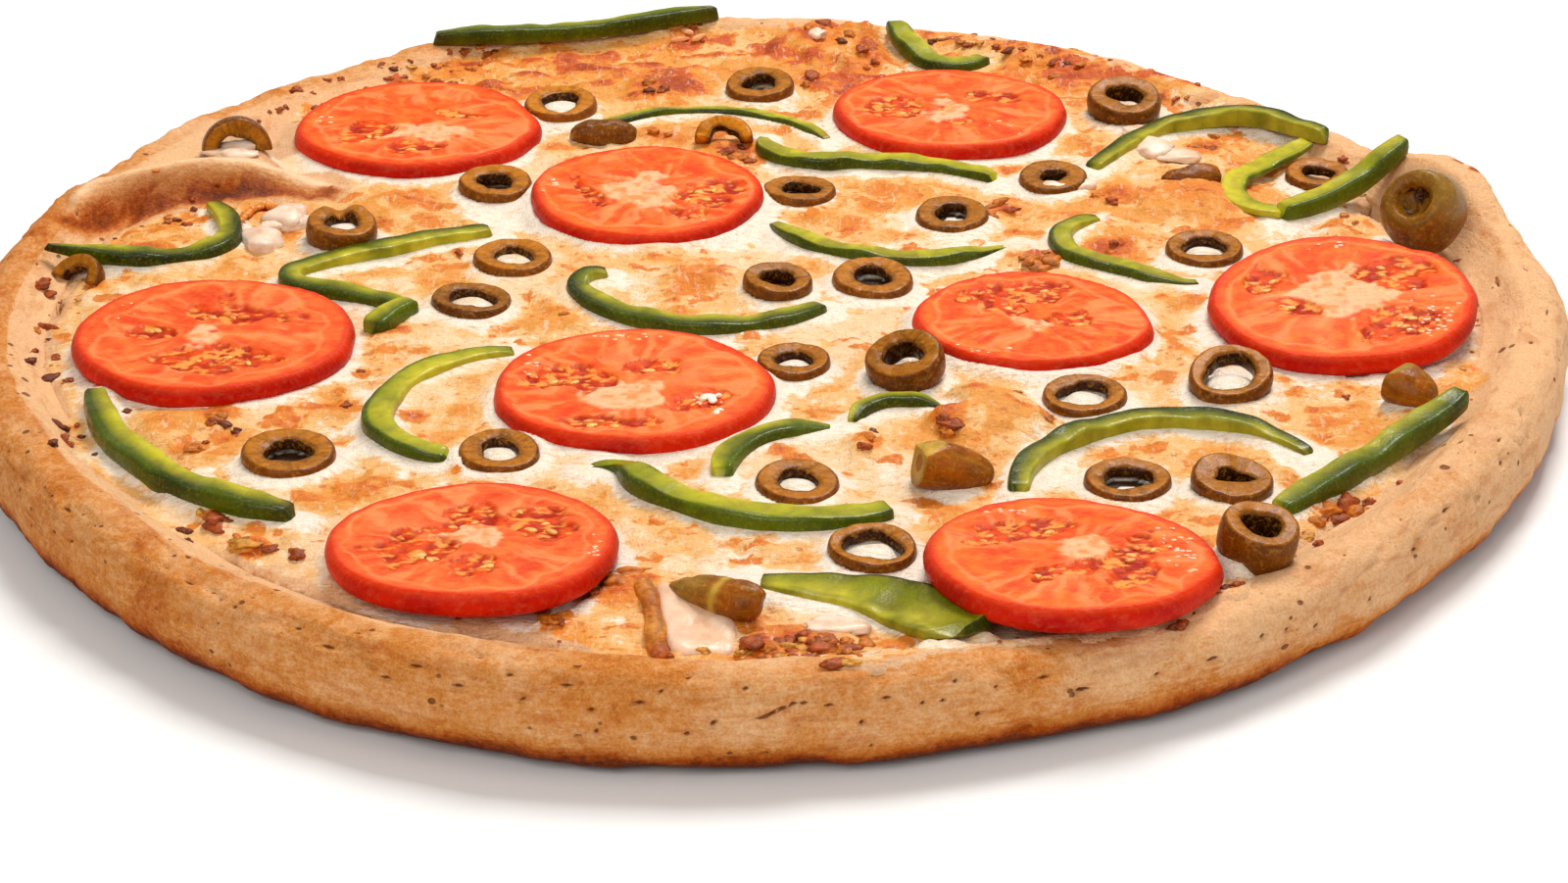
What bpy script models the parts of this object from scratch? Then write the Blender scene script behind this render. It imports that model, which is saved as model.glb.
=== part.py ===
# Vegetarian pizza, 13 inch class, whole and uncut.
# Metres, +Z up, origin at the middle of the underside.
# One baked dough base with a raised uneven rim, one layer of melted cheese in
# it, and on the cheese nine tomato slices, nineteen strips of green pepper and
# thirty pieces of black olive. The camera side of the reference view is -Y.
import bpy
import bmesh
import math
from mathutils import Vector, Matrix

MM = 0.001

# ---------------------------------------------------------------- dimensions
RADIUS = 165.0          # mean outer radius of the crust, mm
# how the hand-stretched outline strays from a circle: (waves, cos, sin) in mm
OUTLINE = ((2, -2.5, -0.3), (3, 2.3, 0.0), (4, 1.5, 0.4), (5, 0.1, 0.4), (6, 0.7, 0.7))
RIM_HEIGHT = 18.6       # crest of the rim above the underside
RIM_FRONT_RISE = 0.4    # the rim is higher at -Y and lower at +Y by this much
CREST_IN = 7.0          # crest lies this far inside the outline
SLOPE = 9.5             # length of the slope from the crest down to the cheese
BULGE_Z = 8.5           # height at which the outer wall is widest
FOOT_IN = 12.0          # the flat underside starts this far inside the outline
CHEESE_TOP = 13.8       # cheese surface between the toppings
FLOOR = 9.0             # top of the dough under the cheese
GAP = 0.35              # gap that two touching pieces keep
REST = 0.45              # clearance of a topping above what carries it

# raised and sunk places of the rim: (direction deg, half width deg, height, plateau)
LOBES = ((18.0, 6.8, 7.4, 1.5),      # bubble that stands up behind the upright olive
         (150.0, 6.5, 0.4, 24.0),    # fold of dough that runs in over the cheese
         (166.0, 6.0, 0.6, 0.0), (34.0, 7.0, -1.2, 0.0),
         (-64.0, 14.0, -1.9, 0.0),   # slice and rim press each other flat here
         (205.0, 16.0, -0.3, 1.0), (-20.0, 14.0, 0.4, 1.0),
         (118.0, 18.0, -0.5, 0.0), (75.0, 20.0, -0.5, 0.0), (-112.0, 14.0, 0.3, 2.0))

N_RIM = 84              # divisions round the crust

# ---------------------------------------------------------------- rim functions


def turn(a, b):
    """Smallest angle from b to a in degrees."""
    return (a - b + 180.0) % 360.0 - 180.0


def outline(deg):
    t = math.radians(deg)
    return RADIUS + sum(c * math.cos(n * t) + s * math.sin(n * t) for n, c, s in OUTLINE)


def rim(deg):
    """Height of the crest and length of its plateau in one direction."""
    h = RIM_HEIGHT - RIM_FRONT_RISE * math.sin(math.radians(deg))
    h += 0.25 * math.sin(math.radians(7 * deg + 40)) + 0.2 * math.sin(math.radians(13 * deg))
    p = 0.8 + 0.5 * math.sin(math.radians(5 * deg + 70))
    for at, half, up, wide in LOBES:
        g = math.exp(-(turn(deg, at) / half) ** 2)
        h += up * g
        p += wide * g
    return h, max(p, 0.3)


def top_height(deg, d):
    """Upper surface at the distance d inside the outline."""
    h, p = rim(deg)
    if d < CREST_IN:
        u = 1.0 - max(d, 0.0) / CREST_IN
        return BULGE_Z + (h - BULGE_Z) * (1.0 - u ** 2.3) ** (1 / 2.3)
    if d < CREST_IN + p:
        return h
    u = (d - CREST_IN - p) / SLOPE
    if u < 1.0:
        return CHEESE_TOP + (h - CHEESE_TOP) * (0.5 + 0.5 * math.cos(math.pi * u))
    return CHEESE_TOP


def surface(x, y):
    """Height in mm of the crust or the cheese at a place in mm."""
    r = math.hypot(x, y)
    deg = math.degrees(math.atan2(y, x))
    return top_height(deg, outline(deg) - r)


# ---------------------------------------------------------------- centre of the outline
# the box of the faceted crust is measured when it is made, and everything is
# shifted by its middle, so that the origin is the middle of the underside
SHIFT = [0.0, 0.0]


# ---------------------------------------------------------------- helpers
for o in list(bpy.data.objects):
    bpy.data.objects.remove(o, do_unlink=True)


def material(name, colour, rough):
    m = bpy.data.materials.new(name)
    m.use_nodes = True
    b = m.node_tree.nodes["Principled BSDF"]
    b.inputs["Base Color"].default_value = (*colour, 1.0)
    b.inputs["Roughness"].default_value = rough
    b.inputs["Metallic"].default_value = 0.0
    m.diffuse_color = (*colour, 1.0)
    return m


MAT_CRUST = material("baked_crust", (0.60, 0.36, 0.16), 0.7)
MAT_CHEESE = material("melted_cheese", (0.86, 0.74, 0.52), 0.4)
MAT_TOMATO = material("tomato_flesh", (0.72, 0.09, 0.03), 0.3)
MAT_PEPPER = material("green_pepper", (0.14, 0.30, 0.03), 0.35)
MAT_OLIVE = material("black_olive", (0.16, 0.09, 0.03), 0.35)


def add_object(name, bm, mat):
    bmesh.ops.recalc_face_normals(bm, faces=bm.faces)
    me = bpy.data.meshes.new(name)
    bm.to_mesh(me)
    bm.free()
    me.shade_smooth()
    me.set_sharp_from_angle(angle=math.radians(35))
    me.materials.append(mat)
    ob = bpy.data.objects.new(name, me)
    bpy.context.scene.collection.objects.link(ob)
    return ob


def rings_to_mesh(rings, closed_rings=True, cap_a=True, cap_b=True, centre_a=None, centre_b=None):
    """Skin a row of equal rings of points (mm); close the ends with fans or faces."""
    bm = bmesh.new()
    vs = [[bm.verts.new(((x - SHIFT[0]) * MM, (y - SHIFT[1]) * MM, z * MM)) for x, y, z in ring] for ring in rings]
    n = len(rings[0])
    for a, b in zip(vs[:-1], vs[1:]):
        for i in range(n):
            j = (i + 1) % n
            bm.faces.new((a[i], a[j], b[j], b[i]))
    for ring, cap, centre in ((vs[0], cap_a, centre_a), (vs[-1], cap_b, centre_b)):
        if not cap:
            continue
        if centre is None:
            bm.faces.new(ring)
        else:
            c = bm.verts.new(((centre[0] - SHIFT[0]) * MM, (centre[1] - SHIFT[1]) * MM, centre[2] * MM))
            for i in range(n):
                bm.faces.new((ring[i], ring[(i + 1) % n], c))
    return bm


# ---------------------------------------------------------------- crust
def polar(deg, r, z):
    return (r * math.cos(math.radians(deg)), r * math.sin(math.radians(deg)), z)


def crust_ring(k):
    """Ring k of the crust's skin, from the foot over the crest to the floor."""
    out = []
    for i in range(N_RIM):
        deg = 360.0 * i / N_RIM
        ro = outline(deg)
        h, p = rim(deg)
        foot = ((FOOT_IN, 0.0), (4.6, 1.0), (1.2, 4.0), (0.0, BULGE_Z))
        if k < 4:
            d, z = foot[k]
        elif k < 7:
            d = (0.9, 3.4, CREST_IN)[k - 4]
            z = top_height(deg, d)
        elif k < 11:
            d = CREST_IN + p + SLOPE * (0.0, 0.35, 0.68, 1.0)[k - 7]
            z = top_height(deg, d)
            if k == 10:
                z -= 0.6
        else:
            d = CREST_IN + p + SLOPE + 0.8
            z = FLOOR
        out.append(polar(deg, ro - d, z))
    return out


crust_rings = [crust_ring(k) for k in range(12)]
xs = [q[0] for r in crust_rings for q in r]
ys = [q[1] for r in crust_rings for q in r]
SHIFT[0] = (min(xs) + max(xs)) / 2
SHIFT[1] = (min(ys) + max(ys)) / 2
bm = rings_to_mesh(crust_rings, centre_a=(0, 0, 0.0), centre_b=(0, 0, FLOOR))
add_object("crust", bm, MAT_CRUST)


# ---------------------------------------------------------------- cheese
def cheese_ring(k):
    out = []
    for i in range(N_RIM):
        deg = 360.0 * i / N_RIM
        h, p = rim(deg)
        edge = outline(deg) - CREST_IN - p - SLOPE
        if k == 0:
            r, z = edge - 0.8 - GAP, FLOOR + GAP
        elif k == 1:
            r, z = edge - 0.3 - GAP, CHEESE_TOP - 0.9
        elif k == 2:
            r, z = edge - 0.9 - GAP, CHEESE_TOP
        else:
            r = (edge - 1.25) * (0.86, 0.66, 0.44, 0.22)[k - 3]
            swell = 0.5 * math.sin(math.radians(3 * deg + 90 * k)) * math.sin(math.radians(80 * k))
            z = CHEESE_TOP - 0.45 + 0.4 * swell
        out.append(polar(deg, r, z))
    return out


bm = rings_to_mesh([cheese_ring(k) for k in range(7)], centre_a=(0, 0, FLOOR + GAP), centre_b=(0, 0, CHEESE_TOP - 0.4))
add_object("cheese", bm, MAT_CHEESE)


# ---------------------------------------------------------------- settling
def settle(points, rest=REST, lift=0.0):
    """Lower or raise a rigid topping until it just clears what is under it."""
    low = min(z - surface(x, y) for x, y, z in points)
    return [(x, y, z - low + rest + lift) for x, y, z in points]


def chunk(seq, n):
    return [seq[i:i + n] for i in range(0, len(seq), n)]


# ---------------------------------------------------------------- tomato slices
TOMATO_THICK = 4.6
# x, y of the middle, diameter, depth to width, direction of a drawn-out corner or None,
# tilt about X and about Y in degrees, sink into the cheese below the plain rest
TOMATOES = (
    ("tomato_1", -78.5, 90.0, 54.4, 0.98, 0.0, 0.0, 0.0),
    ("tomato_2", 43.6, 100.0, 53.4, 0.95, None, 0.0, 0.0),
    ("tomato_3", -24.7, 49.0, 50.4, 1.00, None, 1.0, 0.0),
    ("tomato_4", -109.0, -26.0, 56.2, 0.97, None, 0.0, 0.5),
    ("tomato_5", 119.3, -11.5, 54.2, 1.00, 40.0, 4.0, -3.0),
    ("tomato_6", 55.6, -17.0, 47.6, 0.96, -12.0, 0.0, 0.0),
    ("tomato_7", -23.9, -49.0, 54.8, 0.94, None, 0.0, 0.0),
    ("tomato_8", -50.1, -116.8, 52.2, 0.95, None, -3.0, 0.0),
    ("tomato_9", 55.8, -125.5, 51.4, 0.96, -10.0, -3.5, 1.0),
)
N_TOMATO = 20


def tomato(name, cx, cy, dia, deep, corner, tilt_x, tilt_y):
    r = dia / 2
    spin = Matrix.Rotation(math.radians(tilt_x), 3, 'X') @ Matrix.Rotation(math.radians(tilt_y), 3, 'Y')
    rings = []
    for rr, z in ((0.93, 0.0), (1.0, 0.9), (1.0, TOMATO_THICK - 0.9), (0.95, TOMATO_THICK)):
        for i in range(N_TOMATO):
            t = 2 * math.pi * i / N_TOMATO
            q = r * rr * (1 + 0.012 * math.sin(5 * t + cx) + 0.012 * math.cos(3 * t + cy))
            if corner is not None:
                q *= 1 + 0.05 * math.exp(-(turn(math.degrees(t), corner) / 16.0) ** 2)
            v = spin @ Vector((q * math.cos(t), q * deep * math.sin(t), z))
            rings.append((cx + v.x, cy + v.y, v.z))
    mid = [spin @ Vector((0, 0, z)) for z in (0.0, TOMATO_THICK)]
    rings += [(cx + v.x, cy + v.y, v.z) for v in mid]
    pts = settle(rings)
    a, b = pts[-2], pts[-1]
    add_object(name, rings_to_mesh(chunk(pts[:-2], N_TOMATO), centre_a=a, centre_b=b), MAT_TOMATO)


for row in TOMATOES:
    tomato(*row)


# ---------------------------------------------------------------- green pepper strips
# A strip is a slice of the pepper's wall lying on its cut side. Its course is a
# start (x, y mm), a heading (deg) and a chain of arcs (length mm, turn deg).
# Then: width in plan, height, which side carries the skin (+1 left of the
# course, -1 right), number of sections, lift where it crosses something.
PEPPERS = (
    ("pepper_01", -79, 142, 9, ((71, 13),), 4.0, 4.0, -1, 8, 0.0),
    ("pepper_02", 32, 154, -74, ((18, 15), (17, 118)), 5.5, 4.0, -1, 8, 0.0),
    ("pepper_03", 1, 88, -102, ((27, 112), (38, -50)), 4.6, 4.0, -1, 9, 0.0),
    ("pepper_04", -40, 91, 58, ((35, -66), (33, -56)), 2.6, 2.6, -1, 9, 0.0),
    ("pepper_05", 3, 38.5, -69, ((64, 115),), 4.2, 3.6, -1, 9, 0.0),
    ("pepper_06", 74, 69, 55, ((24, 0), (32, -95), (17, -10)), 4.4, 4.0, 1, 10, 0.0),
    ("pepper_07", 113, 42, 31, ((36, 8),), 4.6, 4.8, -1, 6, 0.0),
    ("pepper_08", 74, 40, -162, ((33, 139), (9, -21), (13, 60)), 4.4, 3.8, -1, 10, 0.0),
    ("pepper_09", -31, 10, -176, ((14, 114), (22, 38), (38, 75)), 4.6, 4.0, -1, 11, 0.0),
    ("pepper_10", -150, 15, 18, ((15, -23), (13, 15), (18, 90), (17, 25)), 4.6, 4.2, -1, 11, 0.0),
    ("pepper_11", -57, 32.5, 196, ((44, 25), (13, 125), (25, -25)), 4.6, 4.0, -1, 11, 0.0),
    ("pepper_12", -48, -29, -170, ((44, 85), (23, 80)), 5.2, 4.0, -1, 10, 0.0),
    ("pepper_13", -128.5, -50, -80, ((18, 14), (54, 50)), 5.6, 5.2, -1, 10, 0.0),
    ("pepper_14", -6, -85, 92, ((34, -92),), 4.6, 4.0, -1, 7, 0.0),
    ("pepper_15", 18.5, -61.5, 84, ((24, -125),), 3.0, 3.6, -1, 7, 0.0),
    ("pepper_16", -32, -81, 46, ((10, -112), (58, 94)), 5.6, 4.8, -1, 10, 0.0),
    ("pepper_17", 49, -91, 88, ((54, -98), (24, -48)), 4.8, 4.2, 1, 10, 0.0),
    ("pepper_18", 136, -58.5, -136, ((57, 2),), 5.0, 4.8, -1, 7, 0.0),
    ("pepper_19", 0.8, -125.6, -4, ((20, -20), (24, -50)), (9.0, 13.0), 2.6, 1, 8, 0.0),
)


def course(x, y, heading, arcs, sections):
    """Points and headings spread evenly over a chain of arcs."""
    total = sum(a[0] for a in arcs)
    out = []
    for k in range(sections):
        s = total * k / (sections - 1)
        px, py, hd = float(x), float(y), math.radians(heading)
        for length, bend in arcs:
            run = min(s, length)
            curve = math.radians(bend) / length
            if abs(curve) < 1e-9:
                px += run * math.cos(hd)
                py += run * math.sin(hd)
            else:
                px += (math.sin(hd + curve * run) - math.sin(hd)) / curve
                py -= (math.cos(hd + curve * run) - math.cos(hd)) / curve
            hd += curve * run
            s -= run
            if s <= 1e-9:
                break
        out.append((px, py, hd))
    return out


# section across the strip: (share of the width, share of the height), skin side at +1
SECTION = ((-0.5, 0.0), (0.42, 0.0), (0.5, 0.5), (0.38, 0.95), (-0.3, 1.0), (-0.5, 0.6))


def pepper(name, x, y, heading, arcs, width, height, skin, sections, lift):
    way = course(x, y, heading, arcs, sections)
    w0, w1 = width if isinstance(width, tuple) else (width, width)
    base = []
    for k, (px, py, hd) in enumerate(way):
        width = w0 + (w1 - w0) * k / (sections - 1)
        under = [surface(px + a * width * 0.55 * -math.sin(hd) + b * math.cos(hd),
                         py + a * width * 0.55 * math.cos(hd) + b * math.sin(hd))
                 for a in (-1, 0, 1) for b in (-2.0, 0.0, 2.0)]
        base.append(max(under))
    # the strip is stiff: it bridges short dips
    for _ in range(2):
        base = [max(base[i], (base[max(i - 1, 0)] + base[min(i + 1, sections - 1)]) / 2) for i in range(sections)]
    rings = []
    for k, (px, py, hd) in enumerate(way):
        u = k / (sections - 1)
        width = w0 + (w1 - w0) * u
        taper = 1.0 - 0.35 * abs(2 * u - 1) ** 6
        ring = []
        for a, b in SECTION:
            off = a * skin * width * taper
            ring.append((px - off * math.sin(hd), py + off * math.cos(hd),
                         base[k] + REST + lift + b * height * (1.0 - 0.2 * abs(2 * u - 1) ** 6)))
        rings.append(ring)
    add_object(name, rings_to_mesh(rings), MAT_PEPPER)


for row in PEPPERS:
    pepper(*row)


# ---------------------------------------------------------------- olives
# kind, x, y, diameter, thickness, tilt deg, direction it leans down to (deg), lift
OLIVES = (
    ("olive_01", "arch", -116.5, 70.0, 15.6, 4.6, 12, -80, 0.0),
    ("olive_02", "ring", -58.1, 57.0, 16.4, 3.4, 4, -90, 0.0),
    ("olive_03", "ring", -89.1, 29.6, 15.8, 4.8, 8, -60, 0.0),
    ("olive_04", "ring", -46.5, 106.0, 17.6, 3.4, 3, -90, 0.0),
    ("olive_05", "ring", -51.6, 16.0, 16.8, 3.4, 2, -90, 0.0),
    ("olive_06", "ring", -58.8, -5.0, 16.2, 2.8, 2, 0, 0.0),
    ("olive_07", "ring", -0.4, 118.0, 16.4, 3.2, 6, -90, 0.0),
    ("olive_08", "ring", 8.8, 55.0, 16.0, 2.6, 2, 90, 0.0),
    ("olive_09", "ring", 41.8, 41.5, 16.4, 2.6, 3, -90, 0.0),
    ("olive_10", "ring", 4.2, 2.5, 14.2, 3.8, 6, -60, 0.0),
    ("olive_11", "ring", 24.0, 6.5, 17.4, 2.8, 3, -90, 0.0),
    ("olive_12", "ring", 7.4, -35.3, 14.2, 3.0, 4, -90, 0.0),
    ("olive_13", "ring", 29.5, -40.0, 15.6, 5.2, 20, -130, 0.0),
    ("olive_14", "ring", 84.2, 103.5, 16.8, 5.0, 14, -95, 0.0),
    ("olive_15", "ring", 65.0, 62.5, 15.6, 2.6, 3, -90, 0.0),
    ("olive_16", "ring", 94.7, 22.0, 16.0, 2.8, 5, -100, 0.0),
    ("olive_17", "ring", 124.0, 63.5, 14.0, 2.8, 6, -110, 0.0),
    ("olive_18", "barrel", 141.0, 26.0, 17.6, 15.0, 50, -125, 0.0),
    ("olive_19", "ring", 64.0, -50.0, 16.4, 2.6, 3, -90, 0.0),
    ("olive_20", "ring", 92.9, -44.8, 16.8, 4.0, 14, -100, 0.0),
    ("olive_21", "ring", 69.4, -87.0, 16.0, 2.8, 3, -90, 0.0),
    ("olive_22", "ring", 88.8, -88.0, 15.0, 3.2, 7, -60, 0.0),
    ("olive_23", "ring", 90.2, -118.5, 14.0, 4.4, 14, -60, 0.0),
    ("olive_24", "end", 37.5, -86.0, 9.4, 15.0, 105, 10, 0.0),
    ("olive_25", "ring", 8.1, -87.5, 16.0, 2.6, 3, -90, 0.0),
    ("olive_26", "ring", 21.5, -114.0, 16.0, 2.8, 3, -90, 0.0),
    ("olive_27", "lump", -6.5, -134.0, 9.0, 19.0, 90, 145, 0.0),
    ("olive_28", "ring", -48.3, -75.0, 16.0, 2.6, 3, -90, 0.0),
    ("olive_29", "ring", -88.0, -76.5, 17.4, 2.8, 5, -70, 0.0),
    ("olive_30", "end", 128.0, -50.8, 9.2, 10.0, 100, -40, 0.0),
)
N_OLIVE = 11
# turned outlines as (share of the radius, share of the thickness), outside then inside
PROFILE = {
    "arch": (),
    "ring": ((0.95, 0.0), (1.0, 0.5), (0.94, 1.0), (0.50, 1.0), (0.46, 0.0)),
    "barrel": ((0.80, 0.0), (1.0, 0.42), (0.72, 1.0), (0.36, 1.0), (0.30, 0.8)),
    "end": ((0.95, 0.0), (0.92, 0.45), (0.55, 0.85)),
    "lump": ((0.55, 0.0), (1.0, 0.3), (0.97, 0.6), (0.55, 0.95)),
}


def olive(name, kind, cx, cy, dia, thick, tilt, lean, lift):
    r = dia / 2
    axis = Vector((math.cos(math.radians(lean + 90)), math.sin(math.radians(lean + 90)), 0))
    spin = Matrix.Rotation(math.radians(tilt), 3, axis)
    wave = cx * 0.37 + cy * 0.21
    pts = []
    prof = PROFILE[kind]
    if kind == "ring":
        rows = prof[:3] + prof[3:]
    else:
        rows = prof
    for share, hgt in rows:
        for i in range(N_OLIVE):
            t = 2 * math.pi * i / N_OLIVE
            q = r * share * (1 + 0.035 * math.sin(2 * t + wave) + 0.02 * math.cos(3 * t - wave))
            v = spin @ Vector((q * math.cos(t), q * math.sin(t), (hgt - 0.5) * thick))
            pts.append((cx + v.x, cy + v.y, v.z))
    if kind == "arch":
        # half a ring that stands on its two cut ends
        spin = Matrix.Rotation(math.radians(lean + 90), 3, 'Z') @ Matrix.Rotation(math.radians(90 - tilt), 3, 'X')
        pts = []
        steps = N_OLIVE
        for share, hgt in PROFILE["ring"]:
            for i in range(steps):
                t = math.pi * i / (steps - 1)
                v = spin @ Vector((r * share * math.cos(t), r * share * math.sin(t), (hgt - 0.5) * thick))
                pts.append((cx + v.x, cy + v.y, v.z))
        rows = chunk(settle(pts, lift=lift), steps)
        rings = [[row[i] for row in rows] for i in range(steps)]
        add_object(name, rings_to_mesh(rings), MAT_OLIVE)
        return
    ends = {"ring": (), "barrel": ((0.0), (0.55)), "end": ((0.0), (1.0)), "lump": ((0.0), (1.0))}[kind]
    for hgt in ends:
        v = spin @ Vector((0, 0, (hgt - 0.5) * thick))
        pts.append((cx + v.x, cy + v.y, v.z))
    pts = settle(pts, lift=lift)
    n = len(rows)
    rings = chunk(pts[:n * N_OLIVE], N_OLIVE)
    if kind == "ring":
        rings.append(rings[0])
        bm = bmesh.new()
        vs = [[bm.verts.new(((x - SHIFT[0]) * MM, (y - SHIFT[1]) * MM, z * MM)) for x, y, z in ring]
              for ring in rings[:-1]]
        vs.append(vs[0])
        for a, b in zip(vs[:-1], vs[1:]):
            for i in range(N_OLIVE):
                j = (i + 1) % N_OLIVE
                bm.faces.new((a[i], a[j], b[j], b[i]))
    else:
        bm = rings_to_mesh(rings, centre_a=pts[-2], centre_b=pts[-1])
    add_object(name, bm, MAT_OLIVE)


for row in OLIVES:
    olive(*row)
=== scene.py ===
import bpy
import math
import numpy as np
from mathutils import Matrix, Vector


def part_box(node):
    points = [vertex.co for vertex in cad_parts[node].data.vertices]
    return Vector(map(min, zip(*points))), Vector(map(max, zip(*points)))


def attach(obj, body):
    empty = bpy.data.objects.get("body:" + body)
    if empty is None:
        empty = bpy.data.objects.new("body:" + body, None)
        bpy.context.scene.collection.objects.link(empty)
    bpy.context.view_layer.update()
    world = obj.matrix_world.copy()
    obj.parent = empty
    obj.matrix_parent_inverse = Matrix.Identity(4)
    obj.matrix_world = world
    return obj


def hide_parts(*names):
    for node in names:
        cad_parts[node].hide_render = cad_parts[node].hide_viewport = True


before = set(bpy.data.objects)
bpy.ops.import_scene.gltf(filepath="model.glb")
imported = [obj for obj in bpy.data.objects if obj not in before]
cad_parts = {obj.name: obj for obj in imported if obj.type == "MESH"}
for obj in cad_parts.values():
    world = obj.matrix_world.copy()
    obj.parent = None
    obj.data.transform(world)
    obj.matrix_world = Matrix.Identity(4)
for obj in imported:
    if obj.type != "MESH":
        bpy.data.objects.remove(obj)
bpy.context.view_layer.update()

MM = 0.001
PI = math.pi

# ================================================================ form of the solids
RADIUS = 165.0
OUTLINE = ((2, -2.5, -0.3), (3, 2.3, 0.0), (4, 1.5, 0.4), (5, 0.1, 0.4), (6, 0.7, 0.7))
RIM_HEIGHT, RIM_FRONT_RISE, CREST_IN, SLOPE = 18.6, 0.4, 7.0, 9.5
BULGE_Z, FOOT_IN, CHEESE_TOP, FLOOR, REST = 8.5, 12.0, 13.8, 9.0, 0.45
LOBES = ((18.0, 6.8, 7.4, 1.5), (150.0, 6.5, 0.4, 24.0), (166.0, 6.0, 0.6, 0.0), (34.0, 7.0, -1.2, 0.0),
         (-64.0, 14.0, -1.9, 0.0), (205.0, 16.0, -0.3, 1.0), (-20.0, 14.0, 0.4, 1.0),
         (118.0, 18.0, -0.5, 0.0), (75.0, 20.0, -0.5, 0.0), (-112.0, 14.0, 0.3, 2.0))
TOMATO_THICK = 4.6


def turn(a, b):
    return (a - b + 180.0) % 360.0 - 180.0


def outline(deg):
    t = np.radians(deg)
    return RADIUS + sum(c * np.cos(n * t) + s * np.sin(n * t) for n, c, s in OUTLINE)


def rim(deg):
    h = RIM_HEIGHT - RIM_FRONT_RISE * np.sin(np.radians(deg))
    h = h + 0.25 * np.sin(np.radians(7 * deg + 40)) + 0.2 * np.sin(np.radians(13 * deg))
    p = 0.8 + 0.5 * np.sin(np.radians(5 * deg + 70))
    for at_, half, up, wide in LOBES:
        g = np.exp(-(turn(deg, at_) / half) ** 2)
        h = h + up * g
        p = p + wide * g
    return h, np.maximum(p, 0.3)


def top_height(deg, d):
    h, p = rim(deg)
    u = 1.0 - np.clip(d, 0, CREST_IN) / CREST_IN
    wall = BULGE_Z + (h - BULGE_Z) * (1.0 - u ** 2.3) ** (1 / 2.3)
    v = np.clip((d - CREST_IN - p) / SLOPE, 0, 1)
    slope = CHEESE_TOP + (h - CHEESE_TOP) * (0.5 + 0.5 * np.cos(PI * v))
    return np.where(d < CREST_IN, wall, slope)


def surface(x, y):
    deg = np.degrees(np.arctan2(y, x))
    return top_height(deg, outline(deg) - np.hypot(x, y))


_t = 360.0 * np.arange(84) / 84
_xs = outline(_t) * np.cos(np.radians(_t))
_ys = outline(_t) * np.sin(np.radians(_t))
SHIFT = np.array([(_xs.min() + _xs.max()) / 2, (_ys.min() + _ys.max()) / 2, 0.0])

# ================================================================ the camera
# fitted to the outline and the slices; the picture is 1600 x 901
ELEV, DIST, FOCAL, AIM_X, AIM_Y, ROLL = 26.16, 750.0, 3824.8, 5.496, -36.572, 0.083
_e, _r0 = math.radians(ELEV), math.radians(ROLL)
CAM_F = np.array([0, math.cos(_e), -math.sin(_e)])
_u0, _x0 = np.array([0, math.sin(_e), math.cos(_e)]), np.array([1.0, 0, 0])
CAM_R = _x0 * math.cos(_r0) + _u0 * math.sin(_r0)
CAM_U = -_x0 * math.sin(_r0) + _u0 * math.cos(_r0)
CAM_C = np.array([AIM_X, AIM_Y, 0]) - DIST * CAM_F

cam = bpy.data.cameras.new("camera")
cam.lens = FOCAL / 1600 * 36.0
cam.sensor_width = 36.0
cam.sensor_fit = "HORIZONTAL"
cam.clip_start, cam.clip_end = 0.01, 20.0
cam_ob = bpy.data.objects.new("camera", cam)
bpy.context.scene.collection.objects.link(cam_ob)
_m = Matrix(((CAM_R[0], CAM_U[0], -CAM_F[0], 0), (CAM_R[1], CAM_U[1], -CAM_F[1], 0),
             (CAM_R[2], CAM_U[2], -CAM_F[2], 0), (0, 0, 0, 1)))
_m.translation = Vector((CAM_C - SHIFT) * MM)
cam_ob.matrix_world = _m
bpy.context.scene.camera = cam_ob


def ray_at(px, py, z):
    """Design x, y of a picture place at the height z."""
    d = CAM_F + CAM_R * (px - 800) / FOCAL - CAM_U * (py - 450.5) / FOCAL
    t = (z - CAM_C[2]) / d[2]
    q = CAM_C + t * d
    return q[0], q[1]


# ================================================================ noise
def _rnd(ix, iy, iz, seed):
    h = (ix * 374761393 + iy * 668265263 + iz * 1440662683 + seed * 974634777) & 0xffffffff
    h = ((h ^ (h >> 13)) * 1274126177) & 0xffffffff
    h = ((h ^ (h >> 15)) * 1103515245) & 0xffffffff
    return ((h ^ (h >> 16)) & 0xffffff) / 16777215.0


def _fade(u):
    return u * u * u * (u * (u * 6 - 15) + 10)


def noise2(x, y, seed=0):
    x, y = np.broadcast_arrays(np.asarray(x, float), np.asarray(y, float))
    fx, fy = np.floor(x), np.floor(y)
    ix, iy = fx.astype(np.int64), fy.astype(np.int64)
    u, v = _fade(x - fx), _fade(y - fy)
    a = _rnd(ix, iy, 0, seed) * (1 - u) + _rnd(ix + 1, iy, 0, seed) * u
    b = _rnd(ix, iy + 1, 0, seed) * (1 - u) + _rnd(ix + 1, iy + 1, 0, seed) * u
    return (a * (1 - v) + b * v) * 2 - 1


def noise3(x, y, z, seed=0):
    x, y, z = np.broadcast_arrays(np.asarray(x, float), np.asarray(y, float), np.asarray(z, float))
    fx, fy, fz = np.floor(x), np.floor(y), np.floor(z)
    ix, iy, iz = fx.astype(np.int64), fy.astype(np.int64), fz.astype(np.int64)
    u, v, w = _fade(x - fx), _fade(y - fy), _fade(z - fz)
    out = 0
    for k, s in ((0, 1 - w), (1, w)):
        a = _rnd(ix, iy, iz + k, seed) * (1 - u) + _rnd(ix + 1, iy, iz + k, seed) * u
        b = _rnd(ix, iy + 1, iz + k, seed) * (1 - u) + _rnd(ix + 1, iy + 1, iz + k, seed) * u
        out = out + (a * (1 - v) + b * v) * s
    return out * 2 - 1


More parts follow.
